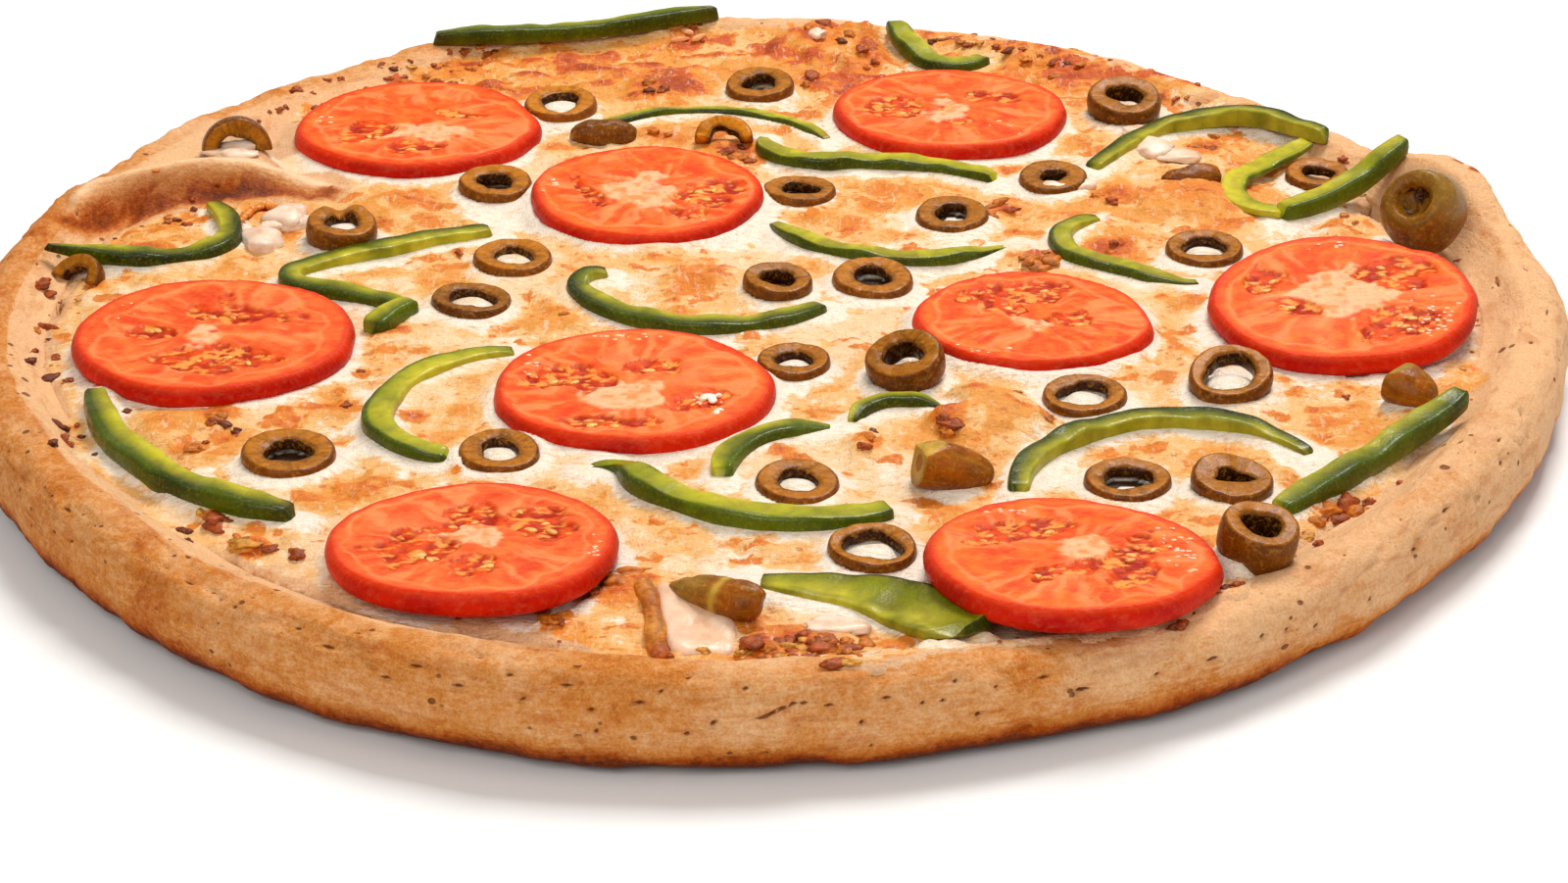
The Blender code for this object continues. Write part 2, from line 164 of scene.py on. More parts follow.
def fbm2(x, y, size, octaves=4, seed=0, gain=0.5):
    out, amp, tot = 0, 1.0, 0
    for k in range(octaves):
        s = 2.03 ** k / size
        out = out + amp * noise2(x * s + 11.3 * k, y * s - 7.1 * k, seed + k)
        tot += amp
        amp *= gain
    return out / tot * 1.6


def fbm3(p, size, octaves=4, seed=0, gain=0.5):
    out, amp, tot = 0, 1.0, 0
    for k in range(octaves):
        s = 2.03 ** k / size
        out = out + amp * noise3(p[..., 0] * s + 11.3 * k, p[..., 1] * s - 7.1 * k, p[..., 2] * s + 3.7 * k, seed + k)
        tot += amp
        amp *= gain
    return out / tot * 1.6


def cells2(x, y, size, seed=0):
    """Distance to the nearest and the second nearest of one random point per cell."""
    x, y = x / size, y / size
    ix, iy = np.floor(x).astype(np.int64), np.floor(y).astype(np.int64)
    f1, f2 = np.full(x.shape, 9.0), np.full(x.shape, 9.0)
    for a in (-1, 0, 1):
        for b in (-1, 0, 1):
            cx, cy = ix + a, iy + b
            d = np.hypot(cx + _rnd(cx, cy, 0, seed) - x, cy + _rnd(cx, cy, 1, seed) - y)
            f2 = np.minimum(f2, np.maximum(f1, d))
            f1 = np.minimum(f1, d)
    return f1, f2


def step(lo, hi, v):
    u = np.clip((v - lo) / (hi - lo), 0, 1)
    return u * u * (3 - 2 * u)


def rgb(r, g, b):
    """Linear colour of a display colour given as 0..255."""
    return np.array([(c / 255 / 12.92) if c / 255 <= 0.04045 else ((c / 255 + 0.055) / 1.055) ** 2.4 for c in (r, g, b)])


def lerp(a, b, t):
    t = np.asarray(t)[..., None]
    return a * (1 - t) + b * t


# ================================================================ mesh helpers
def to_frame(p):
    return (p - SHIFT) * MM


def build(name, co, faces, masks=None, tint=None, mat=None, nodes=()):
    """Mesh object from points in mm and lists of index arrays (n x 3 or n x 4)."""
    me = bpy.data.meshes.new(name)
    me.vertices.add(len(co))
    me.vertices.foreach_set("co", to_frame(np.asarray(co, float)).astype(np.float32).ravel())
    faces = [np.asarray(f, np.int32) for f in faces if len(f)]
    loops = np.concatenate([f.ravel() for f in faces])
    starts, at_ = [], 0
    for f in faces:
        starts.append(at_ + np.arange(len(f)) * f.shape[1])
        at_ += f.size
    me.loops.add(len(loops))
    me.loops.foreach_set("vertex_index", loops)
    me.polygons.add(sum(len(f) for f in faces))
    me.polygons.foreach_set("loop_start", np.concatenate(starts).astype(np.int32))
    me.update(calc_edges=True)
    me.shade_smooth()
    for key, val in (masks or {}).items():
        a = me.attributes.new(key, "FLOAT", "POINT")
        a.data.foreach_set("value", np.asarray(val, np.float32).ravel())
    if tint is not None:
        a = me.attributes.new("tint", "FLOAT_COLOR", "POINT")
        c = np.ones((len(co), 4), np.float32)
        c[:, :3] = np.clip(tint, 0, 1)
        a.data.foreach_set("color", c.ravel())
    me.materials.append(mat)
    ob = bpy.data.objects.new(name, me)
    bpy.context.scene.collection.objects.link(ob)
    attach(ob, "root")
    if nodes:
        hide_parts(*nodes)
    return ob


def grid_faces(rows, n, wrap=True, base=0, flip=False):
    i = np.arange(rows - 1)[:, None]
    j = np.arange(n if wrap else n - 1)[None, :]
    k = (j + 1) % n
    a, b, c, d = i * n + j, i * n + k, (i + 1) * n + k, (i + 1) * n + j
    q = np.stack([a, b, c, d], -1).reshape(-1, 4) + base
    return q[:, ::-1] if flip else q


def fan(ring, centre, flip=False):
    ring = np.asarray(ring)
    f = np.stack([ring, np.roll(ring, -1), np.full(len(ring), centre)], -1)
    return f[:, ::-1] if flip else f


def grid_normals(p):
    du = np.roll(p, -1, 1) - np.roll(p, 1, 1)
    dv = np.gradient(p, axis=0)
    n = np.cross(du, dv)
    return n / np.maximum(np.linalg.norm(n, axis=-1, keepdims=True), 1e-9)


# ================================================================ materials
class Mat:
    """A small writer of node trees; lengths in its textures are in mm."""

    def __init__(self, name):
        self.m = bpy.data.materials.new(name)
        self.m.use_nodes = True
        self.t = self.m.node_tree
        self.b = next(n for n in self.t.nodes if n.type == "BSDF_PRINCIPLED")
        tc = self.t.nodes.new("ShaderNodeTexCoord")
        v = self.t.nodes.new("ShaderNodeVectorMath")
        v.operation = "SCALE"
        v.inputs["Scale"].default_value = 1000.0
        self.t.links.new(tc.outputs["Object"], v.inputs[0])
        self.mm = v.outputs[0]

    def put(self, sock, val):
        if isinstance(val, bpy.types.NodeSocket):
            self.t.links.new(val, sock)
        elif isinstance(val, np.ndarray) or isinstance(val, tuple):
            val = tuple(float(v) for v in val)
            if len(sock.default_value) == 4:
                val = val[:3] + (1.0,)
            sock.default_value = val
        else:
            sock.default_value = val

    def attr(self, name):
        n = self.t.nodes.new("ShaderNodeAttribute")
        n.attribute_name = name
        return n.outputs["Color"] if name == "tint" else n.outputs["Fac"]

    def op(self, what, a, b=0.0, c=0.0):
        n = self.t.nodes.new("ShaderNodeMath")
        n.operation = what
        self.put(n.inputs[0], a)
        self.put(n.inputs[1], b)
        if what == "MULTIPLY_ADD":
            self.put(n.inputs[2], c)
        return n.outputs[0]

    def ramp(self, v, lo, hi, a=0.0, b=1.0):
        n = self.t.nodes.new("ShaderNodeMapRange")
        n.interpolation_type = "SMOOTHSTEP"
        self.put(n.inputs["Value"], v)
        for key, x in (("From Min", lo), ("From Max", hi), ("To Min", a), ("To Max", b)):
            self.put(n.inputs[key], x)
        return n.outputs["Result"]

    def mix(self, fac, a, b, how="MIX"):
        n = self.t.nodes.new("ShaderNodeMix")
        n.data_type = "RGBA"
        n.blend_type = how
        self.put(n.inputs[0], fac)
        self.put(n.inputs[6], a)
        self.put(n.inputs[7], b)
        return n.outputs[2]

    def stretch(self, sx, sy, sz, turn_z=0.0):
        n = self.t.nodes.new("ShaderNodeMapping")
        n.vector_type = "POINT"
        n.inputs["Scale"].default_value = (sx, sy, sz)
        n.inputs["Rotation"].default_value = (0, 0, math.radians(turn_z))
        self.t.links.new(self.mm, n.inputs["Vector"])
        return n.outputs[0]

    def noise(self, size, detail=3.0, rough=0.55, vec=None, warp=0.0):
        n = self.t.nodes.new("ShaderNodeTexNoise")
        self.put(n.inputs["Vector"], vec if vec is not None else self.mm)
        n.inputs["Scale"].default_value = 1.0 / size
        n.inputs["Detail"].default_value = detail
        n.inputs["Roughness"].default_value = rough
        n.inputs["Distortion"].default_value = warp
        return n.outputs["Fac"]

    def cell(self, size, vec=None, rand=1.0):
        n = self.t.nodes.new("ShaderNodeTexVoronoi")
        self.put(n.inputs["Vector"], vec if vec is not None else self.mm)
        n.inputs["Scale"].default_value = 1.0 / size
        n.inputs["Randomness"].default_value = rand
        return n.outputs["Distance"]

    def bump(self, height, mm_high, strength=1.0, under=None):
        n = self.t.nodes.new("ShaderNodeBump")
        n.inputs["Strength"].default_value = strength
        n.inputs["Distance"].default_value = mm_high * MM
        self.put(n.inputs["Height"], height)
        if under is not None:
            self.put(n.inputs["Normal"], under)
        return n.outputs["Normal"]

    def finish(self, colour, rough, normal=None, spec=0.5, sss=0.0, radius=(1.0, 0.5, 0.3), scale=1.0, coat=0.0, coat_rough=0.2):
        b = self.b
        self.put(b.inputs["Base Color"], colour)
        self.put(b.inputs["Roughness"], rough)
        b.inputs["Specular IOR Level"].default_value = spec
        b.inputs["Subsurface Weight"].default_value = sss
        b.inputs["Subsurface Radius"].default_value = radius
        b.inputs["Subsurface Scale"].default_value = scale * MM
        b.inputs["Coat Weight"].default_value = coat
        b.inputs["Coat Roughness"].default_value = coat_rough
        if normal is not None:
            self.put(b.inputs["Normal"], normal)
        return self.m


def dough_colour(m):
    """Baked dough: pale on top, golden on the wall, brown towards its foot, the paler top partly painted light; painted
    shade goes in the pits and the fold's pocket, a painted highlight on its crest.
    """
    brown, pale = m.attr("brown"), m.attr("pale")
    n1, n2, n3 = m.noise(9.0, 4, 0.6), m.noise(1.6, 4, 0.65), m.noise(0.5, 2, 0.6)
    b = m.op("ADD", brown, m.op("MULTIPLY", m.op("SUBTRACT", n1, 0.5), 0.45))
    b = m.op("ADD", b, m.op("MULTIPLY", m.op("SUBTRACT", n2, 0.5), 0.7))
    c = m.mix(m.ramp(b, 0.05, 0.6), rgb(229, 184, 138), rgb(211, 139, 62))
    c = m.mix(m.ramp(b, 0.45, 0.95), c, rgb(180, 84, 0))
    c = m.mix(m.ramp(b, 0.80, 1.2), c, rgb(118, 46, 3))
    streak = m.noise(1.0, 3, 0.6, m.stretch(0.25, 0.25, 1.6))
    f = m.op("MULTIPLY", m.ramp(m.op("ADD", streak, m.op("MULTIPLY", pale, 0.28)), 0.58, 0.82), 0.30)
    f = m.op("MULTIPLY", f, m.ramp(b, 0.35, 0.95, 1.0, 0.1))
    c = m.mix(f, c, rgb(240, 200, 150))
    c = m.mix(m.ramp(n3, 0.30, 0.70), m.mix(0.45, c, c, "MULTIPLY"), c)
    # painted shade: the pits of the crust are darkened in their hollows
    pit_shade_fac = m.op("ADD", m.attr("pit_shade"), m.op("MULTIPLY", m.op("SUBTRACT", n3, 0.5), 0.6))
    c = m.mix(m.ramp(pit_shade_fac, 0.50, 0.80, 0.0, 0.85), c, rgb(98, 40, 5))
    # painted highlight: a pale line along the crest of the fold
    c = m.mix(m.op("MULTIPLY", m.attr("crest_highlight"), 0.75), c, rgb(249, 218, 176))
    return c, n2, n3, streak


def make_crust_mat():
    m = Mat("crust_baked")
    c, n2, n3, streak = dough_colour(m)
    c = m.mix(m.ramp(m.attr("burn"), 0.25, 0.7), c, rgb(165, 78, 28))
    tiny = m.cell(1.25, m.stretch(0.6, 0.6, 1.0))
    hole = m.ramp(m.op("ADD", tiny, m.op("MULTIPLY", m.noise(5.0, 2), 0.5)), 0.30, 0.40)
    # pores: small dents whose hollows get painted shade, a dark brown
    pore_shade_mask = m.ramp(m.op("ADD", m.cell(4.6, m.stretch(0.8, 0.8, 1.2)), m.op("MULTIPLY", m.noise(6.0, 2), 0.55)), 0.33, 0.39, 1.0, 0.0)
    c = m.mix(m.op("MULTIPLY", pore_shade_mask, 0.8), c, rgb(104, 44, 8))
    low = m.noise(1.0, 4, 0.6, m.stretch(0.10, 0.10, 0.55))
    c = m.mix(m.ramp(low, 0.52, 0.66, 0.0, 0.35), c, m.mix(1.0, c, rgb(214, 160, 110), "MULTIPLY"))
    hole = m.op("SUBTRACT", hole, m.op("MULTIPLY", pore_shade_mask, 2.5))
    h = m.op("ADD", m.op("MULTIPLY", n2, 0.5), m.op("MULTIPLY", n3, 0.25))
    h = m.op("ADD", h, m.op("MULTIPLY", streak, 0.25))
    h = m.op("ADD", h, m.op("MULTIPLY", hole, 0.26))
    nb = m.bump(h, 0.6, 1.0)
    return m.finish(c, m.ramp(n2, 0.2, 0.8, 0.58, 0.78), nb, spec=0.10, sss=0.02, radius=(1.0, 0.6, 0.3), scale=1.0)


def make_cheese_mat():
    m = Mat("cheese_melted")
    toast, brown, burn = m.attr("toast"), m.attr("gold"), m.attr("burn")
    big = m.noise(5.5, 4, 0.62, warp=0.6)
    mid = m.noise(1.7, 4, 0.65, warp=0.5)
    fine = m.noise(0.5, 3, 0.6)
    fib = m.noise(1.0, 4, 0.6, m.stretch(0.28, 1.1, 0.6, 18.0), warp=0.8)
    fib2 = m.noise(1.0, 3, 0.6, m.stretch(0.9, 0.25, 0.6, 25.0), warp=0.8)
    w = m.op("ADD", m.op("MULTIPLY", m.op("SUBTRACT", big, 0.5), 0.7), m.op("MULTIPLY", m.op("SUBTRACT", mid, 0.5), 0.7))
    w = m.op("ADD", w, m.op("MULTIPLY", m.op("SUBTRACT", fib, 0.5), 0.5))
    c = m.mix(m.ramp(m.op("ADD", w, m.attr("cream")), 0.02, 0.50), rgb(251, 236, 216), rgb(246, 208, 160))
    c = m.mix(m.ramp(m.op("ADD", toast, w), 0.14, 0.46), c, rgb(241, 184, 112))
    c = m.mix(m.ramp(m.op("ADD", toast, w), 0.58, 0.90), c, rgb(230, 150, 56))
    c = m.mix(m.ramp(m.op("ADD", brown, m.op("MULTIPLY", w, 0.9)), 0.30, 0.50), c, rgb(226, 128, 26))
    c = m.mix(m.ramp(m.op("ADD", brown, m.op("MULTIPLY", w, 0.9)), 0.60, 0.85), c, rgb(202, 82, 4))
    c = m.mix(m.ramp(m.op("ADD", burn, m.op("MULTIPLY", w, 0.8)), 0.38, 0.56), c, rgb(172, 64, 0))
    c = m.mix(m.ramp(m.op("ADD", burn, m.op("MULTIPLY", w, 0.8)), 0.80, 1.00), c, rgb(96, 32, 0))
    speck = m.ramp(m.op("ADD", m.cell(2.9, m.stretch(0.8, 1.25, 1.0)), m.op("MULTIPLY", m.noise(2.4, 3), 0.5)), 0.38, 0.48, 1.0, 0.0)
    c = m.mix(m.op("MULTIPLY", speck, m.ramp(m.op("ADD", toast, w), 0.05, 0.55, 0.05, 0.75)), c, rgb(210, 104, 16))
    thread = m.ramp(m.op("ADD", fib, m.op("MULTIPLY", fine, 0.25)), 0.66, 0.80)
    c = m.mix(m.op("MULTIPLY", thread, 0.30), c, rgb(216, 146, 70))
    pale_thread = m.ramp(fib2, 0.56, 0.70)
    c = m.mix(m.op("MULTIPLY", pale_thread, 0.30), c, rgb(253, 242, 224))
    d, n2, n3, streak = dough_colour(m)
    c = m.mix(m.ramp(m.op("ADD", m.attr("dough"), m.op("MULTIPLY", w, 0.35)), 0.35, 0.65), c, d)
    # painted shade in the holes of the olives
    c = m.mix(m.attr("dark"), c, rgb(58, 30, 10))
    h = m.op("ADD", m.op("MULTIPLY", mid, 0.8), m.op("MULTIPLY", fine, 0.15))
    h = m.op("ADD", h, m.op("MULTIPLY", fib, 0.6))
    h = m.op("ADD", h, m.op("MULTIPLY", fib2, 0.25))
    nb = m.bump(h, 0.85, 0.9)
    r = m.op("ADD", m.ramp(m.op("ADD", toast, w), 0.1, 0.9, 0.28, 0.50), m.op("MULTIPLY", burn, 0.25))
    r = m.op("ADD", r, m.op("MULTIPLY", m.attr("dough"), 0.2))
    return m.finish(c, r, nb, spec=0.34, sss=0.06, radius=(1.0, 0.6, 0.35), scale=1.0)


def make_tomato_mat():
    m = Mat("tomato_slice")
    c = m.attr("tint")
    n1 = m.noise(1.3, 4, 0.65, m.stretch(0.7, 1.5, 1.0, 10.0), warp=0.4)
    n2 = m.noise(0.35, 2, 0.6)
    c = m.mix(m.ramp(n1, 0.45, 0.80, 0.0, 0.20), c, m.mix(0.5, c, rgb(255, 190, 130)))
    c = m.mix(m.ramp(n1, 0.22, 0.50, 0.32, 0.0), c, m.mix(1.0, c, rgb(240, 160, 120), "MULTIPLY"))
    h = m.op("ADD", m.op("MULTIPLY", n1, 0.8), m.op("MULTIPLY", n2, 0.3))
    nb = m.bump(h, 0.4, 0.7)
    return m.finish(c, m.ramp(n1, 0.3, 0.7, 0.24, 0.42), nb, spec=0.09, sss=0.02, radius=(1.0, 0.25, 0.10), scale=1.0)


def make_pepper_mat():
    m = Mat("pepper_green")
    c = m.attr("tint")
    n1, n2 = m.noise(2.6, 3, 0.6, warp=0.4), m.noise(0.6, 3, 0.6)
    c = m.mix(m.ramp(n1, 0.34, 0.72, 0.0, 0.55), c, m.mix(1.0, c, rgb(190, 180, 140), "MULTIPLY"))
    c = m.mix(m.ramp(n2, 0.48, 0.80, 0.0, 0.18), c, rgb(214, 200, 60))
    c = m.mix(1.0, c, rgb(255, 253, 176), "MULTIPLY")
    h = m.op("ADD", m.op("MULTIPLY", n1, 0.8), m.op("MULTIPLY", n2, 0.3))
    nb = m.bump(h, 0.35, 0.55)
    return m.finish(c, m.ramp(n1, 0.25, 0.7, 0.18, 0.36), nb, spec=0.21, sss=0.03, radius=(0.6, 1.0, 0.2), scale=1.0)


def make_olive_mat():
    m = Mat("olive_black")
    c = m.attr("tint")
    n1, n2 = m.noise(1.5, 4, 0.65, warp=0.5), m.noise(0.4, 3, 0.6)
    c = m.mix(m.ramp(n1, 0.30, 0.60, 0.30, 0.0), c, m.mix(1.0, c, rgb(190, 146, 96), "MULTIPLY"))
    c = m.mix(m.ramp(n2, 0.52, 0.80, 0.0, 0.25), c, rgb(214, 160, 70))
    c = m.mix(1.0, c, rgb(255, 243, 120), "MULTIPLY")
    c = m.mix(m.ramp(m.noise(0.9, 3, 0.6, warp=0.8), 0.50, 0.72, 0.0, 0.35), c, rgb(216, 152, 52))
    h = m.op("ADD", m.op("MULTIPLY", n1, 0.8), m.op("MULTIPLY", n2, 0.25))
    nb = m.bump(h, 0.35, 0.55)
    return m.finish(c, m.ramp(n1, 0.3, 0.7, 0.20, 0.38), nb, spec=0.16, sss=0.02, radius=(1.0, 0.6, 0.3), scale=1.0)


def make_tint_mat(name, rough=0.4, grain=1.2, high=0.35, sss=0.05, glow=(246, 190, 104), depth=0.6):
    m = Mat(name)
    c = m.attr("tint")
    n1, n2 = m.noise(grain, 4, 0.65, warp=0.5), m.noise(grain / 3, 2, 0.6)
    c = m.mix(m.ramp(n1, 0.30, 0.60, depth, 0.0), c, m.mix(1.0, c, rgb(190, 150, 120), "MULTIPLY"))
    c = m.mix(m.ramp(n2, 0.52, 0.80, 0.0, 0.30), c, rgb(*glow))
    nb = m.bump(m.op("ADD", m.op("MULTIPLY", n1, 0.8), m.op("MULTIPLY", n2, 0.3)), high, 0.7)
    return m.finish(c, rough, nb, spec=0.28, sss=sss, radius=(1.0, 0.6, 0.35), scale=1.2)


MAT_CRUST = make_crust_mat()
MAT_CHEESE = make_cheese_mat()
MAT_TOMATO = make_tomato_mat()
MAT_PEPPER = make_pepper_mat()
MAT_OLIVE = make_olive_mat()
MAT_CRUMB = make_tint_mat("crumbs_browned", 0.5)
MAT_GLINT_DROP = make_tint_mat("painted_glint_drops", 0.08, 4.0, 0.05, 0.2, (255, 235, 215), 0.1)
MAT_SEED = make_tint_mat("seeds_pale", 0.3, 0.8, 0.15, 0.2, (255, 236, 180))
MAT_ONION = make_tint_mat("onion_soft", 0.3, 3.6, 0.25, 0.15, (252, 232, 206), 0.25)

# ================================================================ tables of toppings
TOMATOES = (
    ("tomato_1", -78.5, 90.0, 54.4, 0.98, 0.0, 0.0, 0.0),
    ("tomato_2", 43.6, 100.0, 53.4, 0.95, None, 0.0, 0.0),
    ("tomato_3", -24.7, 49.0, 50.4, 1.00, None, 1.0, 0.0),
    ("tomato_4", -109.0, -26.0, 56.2, 0.97, None, 0.0, 0.5),
    ("tomato_5", 119.3, -11.5, 54.2, 1.00, 40.0, 4.0, -3.0),
    ("tomato_6", 55.6, -17.0, 47.6, 0.96, -12.0, 0.0, 0.0),
    ("tomato_7", -23.9, -49.0, 54.8, 0.94, None, 0.0, 0.0),
    ("tomato_8", -50.1, -116.8, 52.2, 0.95, None, -3.0, 0.0),
    ("tomato_9", 55.8, -125.5, 51.4, 0.96, -10.0, -3.5, 1.0),
)
PEPPERS = (
    ("pepper_01", -79, 142, 9, ((71, 13),), 4.0, 4.0, -1, 8),
    ("pepper_02", 32, 154, -74, ((18, 15), (17, 118)), 5.5, 4.0, -1, 8),
    ("pepper_03", 1, 88, -102, ((27, 112), (38, -50)), 4.6, 4.0, -1, 9),
    ("pepper_04", -40, 91, 58, ((35, -66), (33, -56)), 2.6, 2.6, -1, 9),
    ("pepper_05", 3, 38.5, -69, ((64, 115),), 4.2, 3.6, -1, 9),
    ("pepper_06", 74, 69, 55, ((24, 0), (32, -95), (17, -10)), 4.4, 4.0, 1, 10),
    ("pepper_07", 113, 42, 31, ((36, 8),), 4.6, 4.8, -1, 6),
    ("pepper_08", 74, 40, -162, ((33, 139), (9, -21), (13, 60)), 4.4, 3.8, -1, 10),
    ("pepper_09", -31, 10, -176, ((14, 114), (22, 38), (38, 75)), 4.6, 4.0, -1, 11),
    ("pepper_10", -150, 15, 18, ((15, -23), (13, 15), (18, 90), (17, 25)), 4.6, 4.2, -1, 11),
    ("pepper_11", -57, 32.5, 196, ((44, 25), (13, 125), (25, -25)), 4.6, 4.0, -1, 11),
    ("pepper_12", -48, -29, -170, ((44, 85), (23, 80)), 5.2, 4.0, -1, 10),
    ("pepper_13", -128.5, -50, -80, ((18, 14), (54, 50)), 5.6, 5.2, -1, 10),
    ("pepper_14", -6, -85, 92, ((34, -92),), 4.6, 4.0, -1, 7),
    ("pepper_15", 18.5, -61.5, 84, ((24, -125),), 3.0, 3.6, -1, 7),
    ("pepper_16", -32, -81, 46, ((10, -112), (58, 94)), 5.6, 4.8, -1, 10),
    ("pepper_17", 49, -91, 88, ((54, -98), (24, -48)), 4.8, 4.2, 1, 10),
    ("pepper_18", 136, -58.5, -136, ((57, 2),), 5.0, 4.8, 1, 7),
    ("pepper_19", 0.8, -125.6, -4, ((20, -20), (24, -50)), (6.0, 15.0), 2.6, 1, 8),
)
# kind, x, y, diameter, thickness, tilt, lean, what is in the hole (c cheese, d dark with painted shade, h half cheese
# and half painted shade, f film), tone
OLIVES = (
    ("olive_01", "arch", -116.5, 70.0, 15.6, 4.6, 12, -80, "d", 0.9),
    ("olive_02", "ring", -58.1, 57.0, 16.4, 3.4, 4, -90, "h", 1.1),
    ("olive_03", "ring", -89.1, 29.6, 15.8, 4.8, 8, -60, "c", 0.98),
    ("olive_04", "ring", -46.5, 106.0, 17.6, 3.4, 3, -90, "c", 1.35),
    ("olive_05", "ring", -51.6, 16.0, 16.8, 3.4, 2, -90, "c", 1.15),
    ("olive_06", "ring", -58.8, -5.0, 16.2, 2.8, 2, 0, "c", 0.7),
    ("olive_07", "ring", -0.4, 118.0, 16.4, 3.2, 6, -90, "h", 0.95),
    ("olive_08", "ring", 8.8, 55.0, 16.0, 2.6, 2, 90, "d", 1.0),
    ("olive_09", "ring", 41.8, 41.5, 16.4, 2.6, 3, -90, "h", 0.9),
    ("olive_10", "ring", 4.2, 2.5, 14.2, 3.8, 6, -60, "d", 0.85),
    ("olive_11", "ring", 24.0, 6.5, 17.4, 2.8, 3, -90, "d", 1.1),
    ("olive_12", "ring", 7.4, -35.3, 14.2, 3.0, 4, -90, "c", 0.9),
    ("olive_13", "ring", 29.5, -40.0, 15.6, 5.2, 20, -130, "h", 0.8),
    ("olive_14", "ring", 84.2, 103.5, 16.8, 5.0, 14, -95, "d", 0.85),
    ("olive_15", "ring", 65.0, 62.5, 15.6, 2.6, 3, -90, "h", 0.9),
    ("olive_16", "ring", 94.7, 22.0, 16.0, 2.8, 5, -100, "c", 0.9),
    ("olive_17", "ring", 124.0, 63.5, 14.0, 2.8, 6, -110, "h", 1.0),
    ("olive_18", "barrel", 141.0, 26.0, 17.6, 15.0, 50, -125, "d", 0.9),
    ("olive_19", "ring", 64.0, -50.0, 16.4, 2.6, 3, -90, "c", 0.95),
    ("olive_20", "ring", 92.9, -44.8, 16.8, 4.0, 14, -100, "c", 0.95),
    ("olive_21", "ring", 69.4, -87.0, 16.0, 2.8, 3, -90, "h", 0.9),
    ("olive_22", "ring", 88.8, -88.0, 15.0, 3.2, 7, -60, "d", 0.88),
    ("olive_23", "ring", 90.2, -118.5, 14.0, 4.4, 14, -60, "d", 0.9),
    ("olive_24", "end", 37.5, -86.0, 9.4, 15.0, 105, 10, "n", 1.35),
    ("olive_25", "ring", 8.1, -87.5, 16.0, 2.6, 3, -90, "c", 1.0),
    ("olive_26", "ring", 21.5, -114.0, 16.0, 2.8, 3, -90, "c", 1.0),
    ("olive_27", "lump", -6.5, -134.0, 9.0, 19.0, 90, 145, "n", 1.2),
    ("olive_28", "ring", -48.3, -75.0, 16.0, 2.6, 3, -90, "c", 1.0),
    ("olive_29", "ring", -88.0, -76.5, 17.4, 2.8, 5, -70, "h", 1.0),
    ("olive_30", "end", 128.0, -50.8, 9.2, 10.0, 100, -40, "n", 1.35),
)


def course(x, y, heading, arcs, sections):
    """Points and headings spread evenly over a chain of arcs."""
    total = sum(a[0] for a in arcs)
    out = []
    for k in range(sections):
        s = total * k / (sections - 1)
        px, py, hd = float(x), float(y), math.radians(heading)
        for length, bend in arcs:
            run = min(s, length)
            curve = math.radians(bend) / length
            if abs(curve) < 1e-9:
                px += run * math.cos(hd)
                py += run * math.sin(hd)
            else:
                px += (math.sin(hd + curve * run) - math.sin(hd)) / curve
                py -= (math.cos(hd + curve * run) - math.cos(hd)) / curve
            hd += curve * run
            s -= run
            if s <= 1e-9:
                break
        out.append((px, py, hd))
    return np.array(out)


# ================================================================ the fold of dough at the left back
RIDGE = np.array(((-149, 36, 19.6), (-147, 39, 21.2), (-142, 46, 22.6), (-136, 50, 23.0), (-128, 54, 23.2),
                  (-121, 58, 22.6), (-113, 60, 21.0), (-106, 61, 18.4), (-99, 60, 15.8)))


def ridge_field(x, y):
    """Signed distance to the fold's crest line (+ behind it) and the crest's height there."""
    best = np.full(x.shape, 1e9)
    side = np.zeros(x.shape)
    top = np.zeros(x.shape)
    for (ax, ay, az), (bx, by, bz) in zip(RIDGE[:-1], RIDGE[1:]):
        dx, dy = bx - ax, by - ay
        t = np.clip(((x - ax) * dx + (y - ay) * dy) / (dx * dx + dy * dy), 0, 1)
        qx, qy = ax + t * dx, ay + t * dy
        d = np.hypot(x - qx, y - qy)
        near = d < best
        best = np.where(near, d, best)
        side = np.where(near, np.sign(dx * (y - ay) - dy * (x - ax)), side)
        top = np.where(near, az + t * (bz - az), top)
    return best * np.where(side == 0, 1, side), top


def folded(x, y, z):
    """The height z with the crest of the fold added."""
    s, top = ridge_field(x, y)
    g = np.exp(-(np.abs(s) / np.where(s > 0, 5.5, 2.6)) ** 2)
    return np.maximum(z, z + (top - z) * g)


def fold_shades(x, y):
    """How much a place belongs to the fold, how brown it is there with painted shade in the pocket below the crest, and
    the painted highlight along its crest.
    """
    s, _ = ridge_field(x, y)
    near = np.exp(-(np.maximum(np.abs(s) - 5.0, 0) / 4.0) ** 2)
    return near, 0.18 + 0.82 * np.exp(-((s + 4.2) / 3.2) ** 2), np.exp(-((s - 1.8) / 2.2) ** 2)


# ================================================================ crust
PITS = np.random.default_rng(11)
# the larger pits that show, by their place in the picture
PIT_PLACES = (
    (612, 662), (491, 670), (424, 680), (674, 704), (650, 719), (601, 726), (730, 739), (779, 732), (790, 728), (800, 723),
    (810, 719), (819, 716), (845, 723), (464, 700), (607, 748), (166, 573), (257, 578), (102, 538), (103, 502), (238, 618),
    (257, 608), (301, 638), (367, 644), (54, 506), (1529, 290), (1579, 317), (1547, 337), (1563, 344), (520, 690), (535, 712),
    (575, 700), (702, 690), (760, 700), (905, 712), (940, 716), (965, 716), (1020, 700), (1065, 690), (1110, 706), (1180, 690),
    (1240, 672), (1290, 650), (1345, 640), (1400, 610), (1450, 560), (1480, 520), (1530, 450), (1555, 420), (330, 660), (395, 690),
    (140, 545), (190, 590), (215, 600), (75, 470), (40, 440), (20, 400), (70, 520), (1000, 730), (880, 740), (700, 752),
)


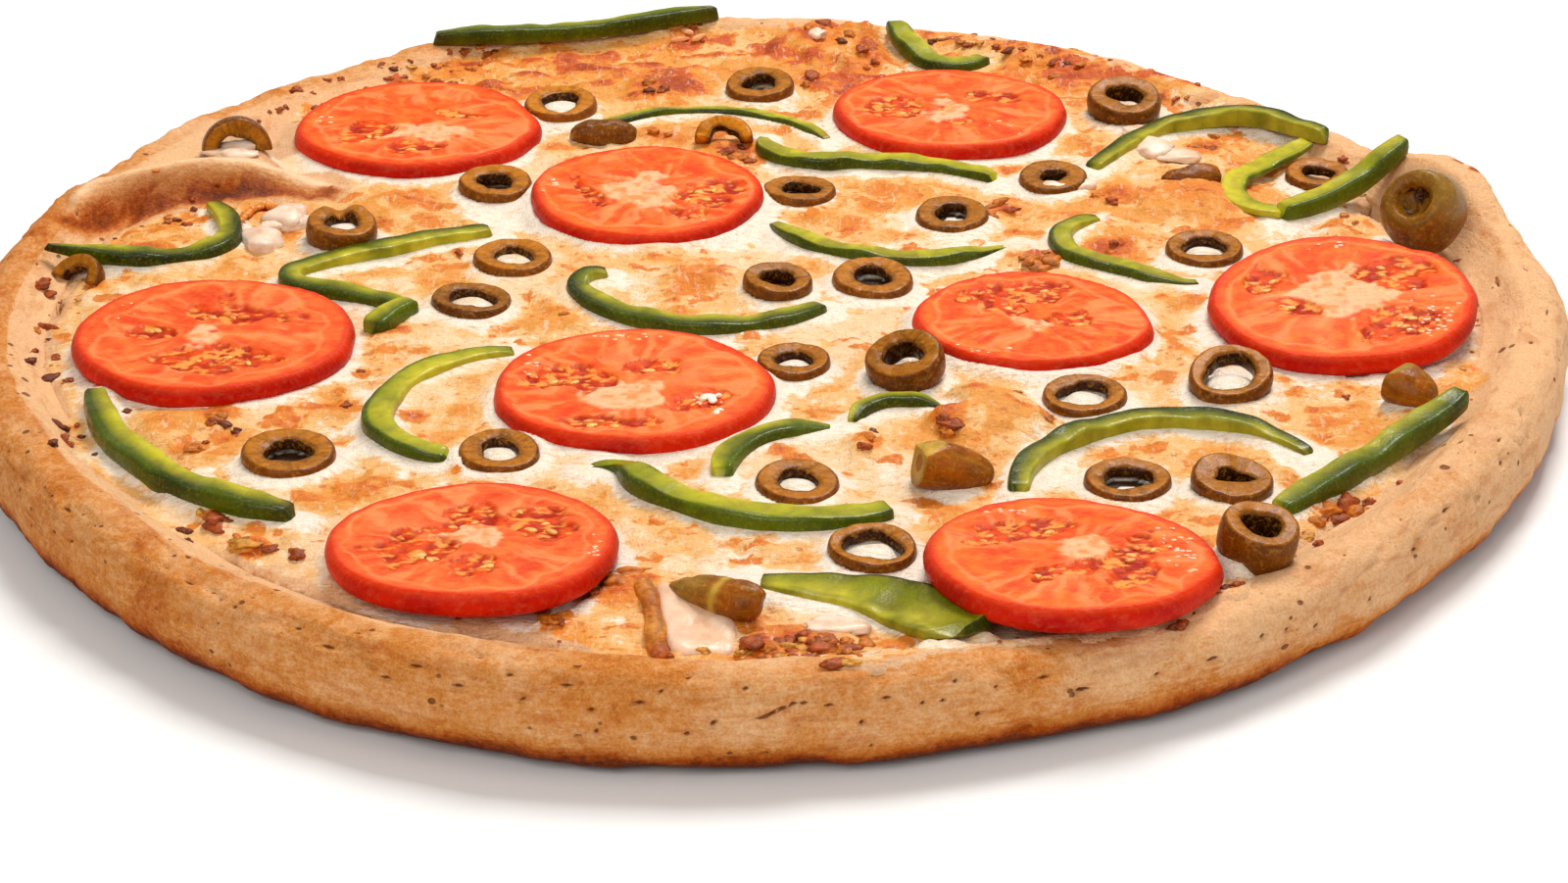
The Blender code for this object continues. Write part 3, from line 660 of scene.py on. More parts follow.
def crust():
    n = 1180
    deg = 360.0 * np.arange(n) / n
    c, s = np.cos(np.radians(deg)), np.sin(np.radians(deg))
    ro = outline(deg)
    h, p = rim(deg)
    rows, zs, prof = [], [], []
    for k in range(1, 13):
        rows.append(ro - (ro - FOOT_IN) * (k / 12.0) ** 0.8)
        rows[-1] = ro - (ro - FOOT_IN) * (k / 12.0)
        zs.append(np.zeros(n))
    rows = [ro - (ro - FOOT_IN) * (k / 12.0) for k in range(1, 13)]
    for k in range(1, 17):
        f = PI / 2 * (1 - k / 16)
        rows.append(FOOT_IN * (1 - math.cos(f) ** (2 / 2.6)) + 0 * ro)
        zs.append(BULGE_Z * (1 - math.sin(f) ** (2 / 2.6)) + 0 * ro)
    for k in range(1, 19):
        f = PI / 2 * k / 18
        rows.append(CREST_IN * (1 - math.cos(f) ** (2 / 2.3)) + 0 * ro)
        zs.append(BULGE_Z + (h - BULGE_Z) * math.sin(f) ** (2 / 2.3))
    for k in range(1, 29):
        d = CREST_IN + (p + SLOPE) * k / 28
        rows.append(d)
        zs.append(top_height(deg, d) - (0.6 if k == 28 else 0.0))
    rows.append(CREST_IN + p + SLOPE + 0.8)
    zs.append(np.full(n, FLOOR))
    D, Z = np.array(rows), np.array(zs)
    R = ro[None, :] - D
    P = np.stack([R * c, R * s, Z], -1)
    # the fold's crest
    on_top = np.zeros(len(D), bool)
    on_top[12 + 16 + 12:-1] = True
    zf = folded(P[..., 0], P[..., 1], P[..., 2])
    P[..., 2] = np.where(on_top[:, None], zf, P[..., 2])
    N = grid_normals(P)
    if N[20, 0, 0] < 0:
        N = -N
    seg = np.linalg.norm(np.diff(P, axis=0), axis=-1)
    run = np.vstack([np.zeros(n), np.cumsum(seg, 0)])       # length along the profile
    arc = np.radians(deg)[None, :] * 160 + 0 * D
    soft = step(0.0, 3.0, P[..., 2]) * (np.arange(len(D))[:, None] < len(D) - 2)
    front = step(0, 6.0, D) * step(0, 1, D)
    inner = step(CREST_IN + 2, CREST_IN + 7, D)
    ring_x, ring_y = 160 * np.cos(np.radians(deg)) + 0 * D, 160 * np.sin(np.radians(deg)) + 0 * D
    # wrinkles drawn out along the rim: noise on a cylinder whose turn is stretched
    q = np.stack([ring_x / 3.6, ring_y / 3.6, run], -1)
    wrinkle = fbm3(q, 3.4, 3, 5)
    lump = fbm3(P, 26.0, 3, 1) * 0.8 + fbm3(P, 9.0, 3, 2) * 0.42
    grain = fbm3(P, 3.0, 2, 3) * 0.12
    disp = lump * (1 - 0.6 * inner) + (0.26 * wrinkle + grain) * (1 - 0.5 * inner)
    # long soft creases low on the wall, as the dough was pressed
    crease = np.abs(noise3(q[..., 0] / 4.4, q[..., 1] / 4.4, run / 5.5, 31))
    disp -= 0.55 * (1 - step(0.0, 0.14, crease)) * step(2.0, 6.0, P[..., 2]) * (D < 9)
    # the pits are dents in the wall, and their hollows are also painted darker as shade
    pit_shade = np.zeros(D.shape)
    rel = P - CAM_C
    depth = rel @ CAM_F
    sx, sy = 800 + FOCAL * (rel @ CAM_R) / depth, 450.5 - FOCAL * (rel @ CAM_U) / depth
    hidden = 1e6 * ((N * rel).sum(-1) > 0) + 1e6 * (np.arange(len(D))[:, None] < 14)
    for px, py in PIT_PLACES:
        i, j = np.unravel_index(np.argmin(np.hypot(sx - px, sy - py) + hidden), sx.shape)
        size, wide = PITS.uniform(0.38, 0.6), PITS.uniform(0.65, 1.3)
        da = turn(deg, deg[j]) * PI / 180 * 160
        near = np.abs(da) < 4 * wide
        g = np.exp(-(da[near] / wide) ** 2 - ((run[:, near] - run[i, j]) / size) ** 2)
        disp[:, near] -= 1.0 * g
        pit_shade[:, near] = np.maximum(pit_shade[:, near], np.minimum(1.0, 1.3 * g))
    for _ in range(230):
        pd = PITS.uniform(0, 360)
        pr = PITS.uniform(0, 1)
        size = PITS.uniform(0.42, 0.75) * (1.3 if PITS.uniform() < 0.15 else 1.0)
        wide = max(0.8, size * PITS.uniform(1.0, 1.7))
        deep = PITS.uniform(0.5, 1.1)
        at_run = run[12, 0] + 4 + pr * 29
        da = turn(deg, pd) * PI / 180 * 160
        near = np.abs(da) < 4 * wide
        g = np.exp(-(da[near] / wide) ** 2 - ((run[:, near] - at_run) / size) ** 2)
        disp[:, near] -= deep * g
        pit_shade[:, near] = np.maximum(pit_shade[:, near], g * min(1.0, deep * 1.1))
    P = P + N * (disp * soft)[..., None]
    P[..., 2] = np.maximum(P[..., 2], 0.0)
    z = P[..., 2]
    # browner towards the foot of the wall: the baked colour, together with painted light that leaves the rounded top
    # paler
    wall = 1 - step(1.0, 9.0, z)
    # painted shade: the rim gets browner towards its left side, around 205 degrees
    side = np.cos(np.radians(deg - 205))[None, :]
    brown = 0.24 + 0.88 * wall * (D < 14) + 0.26 * side * (D < 10) - 0.30 * inner + 0.18 * fbm3(P, 22.0, 3, 8)
    brown = brown + 0.14 * step(0.15, 0.7, fbm3(P, 12.0, 3, 9)) * (D < 9)
    brown = np.where(np.arange(len(D))[:, None] < 12, 0.55 + 0.35 * fbm3(P, 14.0, 4, 12), brown)
    # the pocket below the fold is browned with painted shade, and its crest gets a painted highlight
    near, fold_brown_and_shade, fold_crest_highlight = fold_shades(P[..., 0], P[..., 1])
    near = near * step(6.5, 10.0, D)
    brown = brown * (1 - near) + (fold_brown_and_shade + 0.15 * fbm3(P, 8.0, 3, 8)) * near
    crest_highlight = fold_crest_highlight * near
    pale = 0.5 + 0.5 * fbm3(P, 18.0, 2, 14) + 0.4 * inner
    burn = np.zeros(D.shape)
    # red-brown scorched skin: top right of the bubble, left back of the fold
    for bx, by, br in ((153.0, 50, 2.4), (155.0, 45, 1.5), (-155, 46, 2.0), (-149, 62, 1.8), (-158, 25, 2.0)):
        burn = np.maximum(burn, np.exp(-(np.hypot(P[..., 0] - bx, P[..., 1] - by) / br) ** 2) * (z > 12))
    co = P.reshape(-1, 3)
    nr = len(D)
    co = np.vstack([co, [[0, 0, 0.0], [0, 0, FLOOR]]])
    faces = [grid_faces(nr, n), fan(np.arange(n), nr * n, True), fan(np.arange(n) + (nr - 1) * n, nr * n + 1)]
    ext = lambda a: np.append(a.ravel(), [0.5, 0.0])
    return build("pizza_crust", co, faces, {"brown": ext(brown), "pale": ext(pale), "pit_shade": ext(pit_shade), "burn": ext(burn), "crest_highlight": ext(crest_highlight)},
                 mat=MAT_CRUST, nodes=("crust",))


crust()

# ================================================================ cheese
# the visible edge of the cheese: direction, distance from the middle; beyond it dough
EDGE = ((-180, 143), (-172, 143.5), (-161, 144.4), (-149, 150), (-139, 148.3), (-133, 147.6), (-126, 144), (-120, 147.8),
        (-115, 149.7), (-109, 147), (-104, 146.4), (-98, 152.2), (-94, 154.5), (-90, 156), (-85, 159.8), (-80, 159.8),
        (-75, 155.5), (-70, 156.2), (-64, 158.1), (-58, 155.2), (-49, 148.8), (-40, 145.9), (-28, 145.8), (-18, 147.4),
        (-5, 147.8), (4, 149.2), (12, 143), (18, 139), (26, 143), (34, 152), (45, 156), (56, 158), (66, 160), (80, 161),
        (95, 161), (110, 160), (122, 158), (132, 153), (142, 148), (150, 143), (160, 143), (170, 143), (180, 143))
EDGE_DEG, EDGE_R = np.array([e[0] for e in EDGE], float), np.array([e[1] for e in EDGE], float)
# browned places by their place in the picture: x, y, half width, half height in
# picture pixels, then toast, gold and burn strength and the height of the blister in mm
SPOTS = (
    (810, 662, 52, 17, 0.5, 0.9, 0.4, 0.8), (840, 655, 14, 7, 0.3, 0.9, 0.8, 0.6), (775, 655, 14, 7, 0.3, 0.9, 0.7, 0.6),
    (671, 86, 42, 16, 0.8, 0.75, 0.55, 1.2), (568, 52, 26, 8, 0.9, 0.5, 0.1, 0.8), (498, 96, 26, 10, 0.6, 0.4, 0.0, 0.3),
    (470, 70, 40, 10, 0.6, 0.55, 0.35, 0.3), (505, 56, 28, 8, 0.6, 0.55, 0.2, 0.3), (600, 76, 60, 18, 0.7, 0.0, 0.0, 0.6),
    (835, 42, 44, 22, 0.9, 0.65, 0.45, 3.2), (885, 55, 26, 14, 0.8, 0.6, 0.5, 1.6), (827, 80, 22, 12, 0.8, 0.75, 0.5, 0.9),
    (707, 40, 24, 10, 0.6, 0.6, 0.3, 0.6), (650, 45, 60, 14, 0.7, 0.15, 0.0, 0.5), (747, 155, 34, 13, 0.5, 0.8, 0.6, 1.0),
    (675, 137, 24, 6, 0.5, 0.75, 0.4, 0.5), (905, 195, 46, 10, 0.7, 0.6, 0.25, 0.5), (845, 205, 42, 14, 0.7, 0.35, 0.15, 0.7),
    (830, 218, 12, 6, 0.5, 0.6, 0.3, 0.5), (868, 226, 14, 6, 0.5, 0.65, 0.3, 0.5), (1023, 212, 22, 6, 0.6, 0.85, 0.4, 0.4),
    (930, 238, 20, 4, 0.5, 0.4, 0.1, 0.2), (1142, 200, 32, 14, 0.7, 0.75, 0.4, 0.8), (1215, 205, 48, 16, 0.8, 0.6, 0.45, 2.2),
    (1130, 225, 30, 12, 0.6, 0.35, 0.1, 0.5), (1137, 250, 24, 10, 0.7, 0.9, 0.5, 0.6), (1180, 245, 30, 8, 0.5, 0.4, 0.1, 0.4),
    (1233, 149, 24, 10, 0.5, 0.75, 0.35, 0.6), (1258, 140, 14, 6, 0.4, 0.5, 0.1, 0.4), (1050, 70, 44, 10, 0.8, 0.45, 0.25, 1.0),
    (1075, 66, 18, 5, 0.6, 0.6, 0.6, 0.6), (1030, 56, 24, 5, 0.6, 0.6, 0.5, 0.6), (975, 48, 18, 5, 0.5, 0.6, 0.6, 0.4),
    (1100, 85, 40, 12, 0.8, 0.1, 0.0, 0.6), (710, 288, 36, 17, 0.7, 0.6, 0.15, 0.9), (695, 275, 14, 6, 0.4, 0.6, 0.2, 0.4),
    (576, 326, 28, 10, 0.6, 0.3, 0.1, 0.4), (460, 272, 28, 6, 0.5, 0.6, 0.1, 0.3), (439, 262, 18, 5, 0.5, 0.5, 0.1, 0.2),
    (467, 258, 8, 7, 0.3, 0.7, 0.5, 0.3), (410, 204, 26, 7, 0.7, 0.6, 0.45, 0.6), (437, 222, 22, 6, 0.6, 0.55, 0.1, 0.4),
    (395, 210, 34, 12, 0.6, 0.1, 0.0, 0.5), (399, 356, 22, 6, 0.6, 0.5, 0.1, 0.3), (367, 379, 12, 5, 0.4, 0.7, 0.5, 0.2),
    (353, 414, 20, 6, 0.4, 0.7, 0.45, 0.3), (166, 435, 34, 18, 0.8, 0.35, 0.0, 1.6), (222, 424, 24, 14, 0.6, 0.9, 0.5, 0.8),
    (195, 456, 22, 8, 0.5, 0.8, 0.1, 0.4), (241, 443, 8, 8, 0.3, 0.5, 0.7, 0.3), (230, 460, 24, 8, 0.5, 0.4, 0.1, 0.3),
    (254, 555, 20, 7, 0.5, 0.9, 0.2, 0.5), (354, 494, 24, 8, 0.5, 0.55, 0.1, 0.3), (325, 520, 26, 8, 0.4, 0.3, 0.0, 0.3),
    (300, 395, 44, 6, 0.4, 0.2, 0.0, 0.2), (969, 433, 18, 16, 0.8, 0.8, 0.45, 1.4), (1010, 425, 50, 22, 0.6, 0.05, 0.0, 3.2),
    (1036, 402, 14, 5, 0.5, 0.6, 0.3, 0.5), (1068, 427, 10, 8, 0.5, 0.6, 0.3, 0.6), (886, 452, 18, 12, 0.6, 0.6, 0.3, 1.0),
    (1130, 462, 26, 8, 0.6, 0.5, 0.3, 0.3), (1160, 455, 30, 8, 0.6, 0.2, 0.0, 0.3), (1230, 462, 30, 8, 0.6, 0.3, 0.1, 0.3),
    (1320, 400, 18, 8, 0.4, 0.6, 0.1, 0.2), (1310, 385, 10, 4, 0.3, 0.55, 0.1, 0.2), (1300, 355, 22, 6, 0.3, 0.2, 0.0, 0.2),
    (1285, 372, 8, 4, 0.3, 0.6, 0.2, 0.2), (1190, 340, 18, 5, 0.4, 0.5, 0.2, 0.2), (1205, 355, 14, 4, 0.4, 0.4, 0.1, 0.2),
    (1355, 430, 26, 8, 0.5, 0.65, 0.15, 0.4), (1370, 520, 34, 18, 0.5, 0.55, 0.35, 0.8), (1345, 550, 20, 8, 0.4, 0.5, 0.25, 0.4),
    (1395, 440, 30, 8, 0.5, 0.35, 0.0, 0.3), (620, 600, 36, 12, 0.6, 0.85, 0.35, 1.0), (655, 590, 26, 6, 0.5, 0.85, 0.3, 0.6),
    (570, 628, 16, 10, 0.4, 0.7, 0.5, 0.5), (560, 605, 34, 10, 0.4, 0.3, 0.0, 0.3), (720, 540, 60, 14, 0.35, 0.0, 0.0, 0.2),
    (600, 520, 60, 12, 0.30, 0.0, 0.0, 0.2), (780, 558, 24, 6, 0.4, 0.35, 0.0, 0.2), (870, 400, 40, 12, 0.35, 0.0, 0.0, 0.2),
    (540, 375, 30, 10, 0.35, 0.1, 0.0, 0.3), (640, 325, 30, 10, 0.5, 0.15, 0.0, 0.3), (200, 205, 34, 14, 0.6, 0.7, 0.2, 0.3),
    (178, 228, 14, 8, 0.5, 0.5, 0.4, 0.3), (280, 215, 34, 6, 0.4, 0.75, 0.2, 0.4), (300, 245, 30, 8, 0.6, 0.3, 0.0, 0.3),
    (150, 252, 40, 6, 0.5, 0.8, 0.2, 0.3), (110, 255, 20, 5, 0.4, 0.7, 0.1, 0.2), (230, 262, 40, 8, 0.7, 0.2, 0.0, 0.3),
    (60, 300, 14, 14, 0.4, 0.5, 0.5, 0.3), (45, 330, 14, 10, 0.4, 0.6, 0.4, 0.2), (1060, 262, 30, 6, 0.3, 0.9, 0.2, 0.4),
    (1080, 345, 20, 6, 0.4, 0.1, 0.0, 0.2), (700, 500, 50, 12, 0.35, 0.0, 0.0, 0.2), (1150, 545, 20, 6, 0.3, 0.1, 0.0, 0.2),
    (1110, 110, 30, 12, 0.5, 0.0, 0.0, 0.3), (640, 100, 60, 14, 0.6, 0.1, 0.0, 0.5), (730, 70, 40, 14, 0.6, 0.15, 0.0, 0.5),
    (900, 90, 20, 10, 0.5, 0.2, 0.0, 0.3), (760, 110, 50, 8, 0.3, 0.0, 0.0, 0.2), (1010, 235, 30, 8, 0.3, 0.0, 0.0, 0.2),
)


def cheese():
    pitch = 0.88
    ax = np.arange(-166, 166.01, pitch)
    X, Y = np.meshgrid(ax, ax, indexing="xy")
    rr, deg = np.hypot(X, Y), np.degrees(np.arctan2(Y, X))
    edge = np.interp(deg, EDGE_DEG, EDGE_R) + 2.2 * fbm2(X, Y, 15.0, 2, 40) + 1.6 * fbm2(X, Y, 5.0, 3, 42)
    edge = np.minimum(edge, outline(deg) - 4.5)
    s = edge - rr
    base = surface(X, Y)
    flat = 1 - step(0.3, 3.5, base - CHEESE_TOP)         # 1 in the recess, 0 up on the rim
    # distance to the toppings
    dT = np.full(X.shape, 99.0)
    for _, cx, cy, dia, deep, corner, tx, ty in TOMATOES:
        r = dia / 2
        dT = np.minimum(dT, (np.hypot((X - cx) / r, (Y - cy) / (r * deep)) - 1) * r)
    dP = np.full(X.shape, 99.0)
    for row in PEPPERS:
        w = row[5] if not isinstance(row[5], tuple) else sum(row[5]) / 2
        for px, py, _ in course(*row[1:5], 48):
            box = (np.abs(X - px) < 14) & (np.abs(Y - py) < 14)
            dP[box] = np.minimum(dP[box], np.hypot(X[box] - px, Y[box] - py) - w / 2)
    dO = np.full(X.shape, 99.0)
    for _, kind, cx, cy, dia, thick, tilt, lean, hole, tone in OLIVES:
        d = np.hypot(X - cx, Y - cy) - dia / 2
        if kind in ("ring", "barrel"):
            dO = np.minimum(dO, d)
        else:
            dO = np.minimum(dO, d * 0.8 + 1)
    low = fbm2(X, Y, 20.0, 3, 50)
    mid = fbm2(X, Y, 7.0, 4, 60)
    f1, f2 = cells2(X + 2.2 * mid, Y + 2.2 * low, 8.5, 70)
    quilt = step(0.0, 0.35, f2 - f1)
    free = step(0.5, 5.0, np.minimum(np.minimum(dT, dP), dO))
    thick = 1.15 + 0.55 * low + 0.78 * mid * free + 0.45 * (quilt - 0.6) * free
    thick += 1.15 * np.exp(-(np.maximum(dO, 0) / 1.8) ** 2) + 1.1 * np.exp(-(np.maximum(dP, 0) / 1.6) ** 2)
    thick += 0.55 * np.exp(-(np.maximum(dT, 0) / 1.5) ** 2)
    for name, cx, cy, dia, deep, corner, tx, ty in TOMATOES:
        up = {"tomato_6": 1.9, "tomato_3": 1.3, "tomato_7": 0.9, "tomato_1": 0.5, "tomato_2": 0.5}.get(name, 0.0)
        if up:
            q = (np.hypot((X - cx) / (dia / 2), (Y - cy) / (dia / 2 * deep)) - 1) * dia / 2
            thick += up * np.exp(-(np.maximum(q, 0) / 2.4) ** 2)
    toast, gold, burn = np.zeros(X.shape), np.zeros(X.shape), np.zeros(X.shape)
    for px, py, wx, wy, t, g, b, up in SPOTS:
        cx, cy = ray_at(px, py, 15.5)
        ex = abs(ray_at(px + wx, py, 15.5)[0] - cx) + 0.3
        ey = abs(ray_at(px, py - wy, 15.5)[1] - cy) + 0.3
        box = (np.abs(X - cx) < ex * 2.6) & (np.abs(Y - cy) < ey * 2.6)
        q = np.hypot((X[box] - cx) / ex, (Y[box] - cy) / ey)
        q = q * (1 + 0.35 * mid[box])
        k = np.exp(-(q / 0.95) ** 3)
        toast[box] = np.maximum(toast[box], t * np.exp(-(q / 1.35) ** 2))
        gold[box] = np.maximum(gold[box], g * k)
        burn[box] = np.maximum(burn[box], b * np.exp(-(q / 0.62) ** 3))
        thick[box] += 1.35 * up * np.exp(-(q / 1.05) ** 4) * free[box] ** 0.5
    # further blistered places, uneven in size, away from the toppings
    rng = np.random.default_rng(23)
    for _ in range(620):
        a, r = rng.uniform(0, 2 * PI), 150 * math.sqrt(rng.uniform())
        cx, cy = r * math.cos(a), r * math.sin(a)
        size = 0.7 + 2.2 * rng.uniform() ** 2
        i, j = int((cy + 166) / pitch), int((cx + 166) / pitch)
        if min(dT[i, j], dP[i, j], dO[i, j]) < 1.8:
            continue
        hot = rng.uniform()
        box = (np.abs(X - cx) < size * 3) & (np.abs(Y - cy) < size * 3)
        q = np.hypot((X[box] - cx) / size / rng.uniform(0.9, 1.7), (Y[box] - cy) / size) * (1 + 0.3 * mid[box])
        toast[box] = np.maximum(toast[box], 0.5 * np.exp(-(q / 1.6) ** 2))
        gold[box] = np.maximum(gold[box], (0.35 + 0.5 * hot) * np.exp(-(q / 0.9) ** 3))
        burn[box] = np.maximum(burn[box], 0.9 * max(0, hot - 0.62) * 1.5 * np.exp(-(q / 0.55) ** 3))
        thick[box] += 0.3 * np.exp(-q ** 2)
    toast += 0.60 * step(-0.35, 0.45, fbm2(X, Y, 11.0, 5, 80, 0.6)) * free
    toast += 0.22 * step(0.0, 0.9, mid) * free
    gold = np.maximum(gold, 0.66 * step(0.36, 0.66, fbm2(X * 0.6, Y, 5.0, 4, 83)) * free)
    toast = toast * (0.30 + 0.70 * step(0.0, 2.6, np.minimum(np.minimum(dT, dP), dO) + 1.8 * mid + 0.4))
    far = step(80, 128, Y) * free
    toast += 0.20 * step(60, 140, Y)
    back_n = fbm2(X * 0.5, Y * 0.9, 4.6, 4, 85)
    gold = np.maximum(gold, 0.90 * far * step(-0.05, 0.45, back_n))
    burn = np.maximum(burn, 0.62 * far * step(0.36, 0.78, back_n))
    thick += 0.9 * far * back_n
    toast += 0.28 * step(0.0, 1.0, 1 - s / 9.0)
    toast += 0.16 * step(40, 90, X) * free - 0.06 * step(40, -10, np.abs(X)) * free
    # thin towards its edge, and below the dough past it
    film = step(0.0, 7.0, s)
    z = base + np.where(s > 0, 0.18 + (thick - 0.18) * film, -1.1 * step(0, 1, -s / 1.6) + 0.18)
    z = np.where(flat < 0.5, base + np.where(s > 0, 0.15 + 0.55 * thick * film, -1.1 * step(0, 1, -s / 1.6) + 0.15), z)
    bump_up = 0.50 * fbm2(X * 0.7, Y, 2.8, 3, 90) * free
    z += bump_up * step(0, 3, s)
    # holes of the olives; the dark ones get painted shade in them
    dark = np.zeros(X.shape)
    for name, kind, cx, cy, dia, th, tilt, lean, hole, tone in OLIVES:
        if kind != "ring":
            continue
        r = dia / 2 * 0.50
        q = np.hypot(X - cx, Y - cy)
        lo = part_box(name)[0].z / MM
        under = q < dia / 2 * 0.90
        if name == "olive_23":   # this one leans on the rim: the cheese closes round its foot
            z = np.maximum(z, lo + 0.6 - 0.25 * np.maximum(q - 6.0, 0) ** 2 - 0.9 * np.maximum(2.5 - s, 0))
            z = np.where(q < 3.0, np.minimum(z, lo - 0.5), z)
            # painted shade in the middle of its hole
            dark = np.where(q < 2.8, 1.0, dark)
            continue
        z = np.where(under, np.minimum(z, lo + 0.9), z)
        if hole == "c":
            up = lo + 0.92 * th
            q = q * (1 + 0.16 * noise2(X / 3.0, Y / 3.0, 6))
            z = np.where(q < r * 1.25, np.maximum(z, up - 1.2 * (q / r) ** 2), z)
            toast = np.where(q < r * 1.1, 0.0, toast)
            gold = np.where(q < r * 1.1, 0.0, gold)
            burn = np.where(q < r * 1.1, 0.0, burn)
        elif hole == "h":
            up = lo + 0.42 * th
            half = (Y - cy) + 0.6 * noise2(X / 3, Y / 3, 5) * 3 < -0.5
            z = np.where((q < r * 1.2), np.where(half, np.maximum(z, up + 0.4), np.minimum(z, lo + 0.4)), z)
            # painted shade in the half of the hole that the cheese does not fill
            dark = np.where((q < r * 1.15) & ~half, 1.0, dark)
        else:
            z = np.where(q < r * 1.2, np.minimum(z, lo + 0.3), z)
            # painted shade in the hole
            dark = np.where(q < r * 1.15, 1.0, dark)
    # below the slices the cheese is pressed flat
    z = np.where(dT < -1.0, np.minimum(z, base + 0.3), z)
    sr, top = ridge_field(X, Y)
    z0 = z
    z = folded(X, Y, z)
    near = np.exp(-(np.maximum(np.abs(sr) - 4.5, 0) / 3.0) ** 2)
    behind = ((sr > 0) & (sr < 40) & (X < -100) & (Y > 30)).astype(float) * step(132.0, 141.0, rr + 0.25 * (X + 128))
    w_fold, fold_brown_and_shade, fold_crest_highlight = fold_shades(X, Y)
    dough = np.clip(w_fold * 1.1 + behind, 0, 1)
    lobe = np.exp(-((X - 147) / 16) ** 2 - ((Y - 44) / 17) ** 2)
    dough = np.clip(dough + step(0.35, 0.75, lobe), 0, 1)
    dough = np.clip(dough + step(0.0, 1.0, (3.5 - s) / 5.0) * 0.75, 0, 1)
    # in the fold the brown includes painted shade in its pocket
    brown = 0.05 * (1 - w_fold) + fold_brown_and_shade * w_fold + 0.15 * fbm2(X, Y, 8, 3, 4)
    cream = 0.50 + 0.5 * low - 0.55 * (1 - free)
    crest_highlight = fold_crest_highlight * w_fold
    keep = (s > -2.8) & (rr < outline(deg) - 3.2)
    ok = keep[:-1, :-1] & keep[1:, :-1] & keep[:-1, 1:] & keep[1:, 1:]
    idx = np.full(X.shape, -1, np.int64)
    used = np.zeros(X.shape, bool)
    used[:-1, :-1] |= ok; used[1:, :-1] |= ok; used[:-1, 1:] |= ok; used[1:, 1:] |= ok
    idx[used] = np.arange(used.sum())
    co = np.stack([X[used], Y[used], z[used]], -1)
    q = np.stack([idx[:-1, :-1][ok], idx[:-1, 1:][ok], idx[1:, 1:][ok], idx[1:, :-1][ok]], -1)
    names = {"toast": toast, "gold": gold, "burn": burn, "dark": dark, "dough": dough, "brown": brown,
             "cream": cream, "pale": 0.5 + 0 * X, "pit_shade": 0 * X, "crest_highlight": crest_highlight}
    vals = {k: v[used] for k, v in names.items()}
    # close the sheet: a skirt from its border down to a flat base inside the dough
    ed = np.concatenate([q[:, [0, 1]], q[:, [1, 2]], q[:, [2, 3]], q[:, [3, 0]]])
    key = ed[:, 0] * (len(co) + 1) + ed[:, 1]
    back_key = ed[:, 1] * (len(co) + 1) + ed[:, 0]
    border = ed[~np.isin(key, back_key)]
    b_ids = np.unique(border)
    low_of = {int(v): len(co) + k for k, v in enumerate(b_ids)}
    lowz = co[b_ids].copy()
    rad = np.hypot(lowz[:, 0], lowz[:, 1])
    lowz[:, 2] = 10.2
    lowz[:, :2] *= ((rad - 1.0) / rad)[:, None]
    a, b = border[:, 0], border[:, 1]
    la = np.array([low_of[int(v)] for v in a])
    lb = np.array([low_of[int(v)] for v in b])
    skirt = np.stack([b, a, la, lb], -1)
    centre = len(co) + len(b_ids)
    bottom = np.stack([lb, la, np.full(len(a), centre)], -1)
    all_co = np.vstack([co, lowz, [[0, 0, 10.2]]])
    pad = len(b_ids) + 1
    vals = {k: np.append(v, np.zeros(pad)) for k, v in vals.items()}
    ob = build("pizza_cheese", all_co, [q, skirt, bottom], vals, mat=MAT_CHEESE, nodes=("cheese",))

    def top_at(x, y):
        fx, fy = (x + 166) / pitch, (y + 166) / pitch
        i, j = int(np.clip(fy, 0, len(ax) - 2)), int(np.clip(fx, 0, len(ax) - 2))
        v, u = fy - i, fx - j
        zz = (z[i, j] * (1 - u) + z[i, j + 1] * u) * (1 - v) + (z[i + 1, j] * (1 - u) + z[i + 1, j + 1] * u) * v
        return max(float(zz), float(folded(np.array([x]), np.array([y]), surface(np.array([x]), np.array([y])))[0]))
    return ob, top_at


cheese_ob, top_at = cheese()


def at(px, py):
    """Place on the top surface behind a picture place."""
    z = 16.0
    for _ in range(8):
        x, y = ray_at(px, py, z)
        z = 0.5 * z + 0.5 * top_at(x, y)
    # a place past the crest of the rim comes back onto the rim
    deg, far_off = math.degrees(math.atan2(y, x)), math.hypot(x, y)
    most = float(outline(deg)) - 5.0
    if far_off > most:
        x, y = x * most / far_off, y * most / far_off
    return x, y, top_at(x, y)


# ================================================================ tomato slices
SEEDS = []
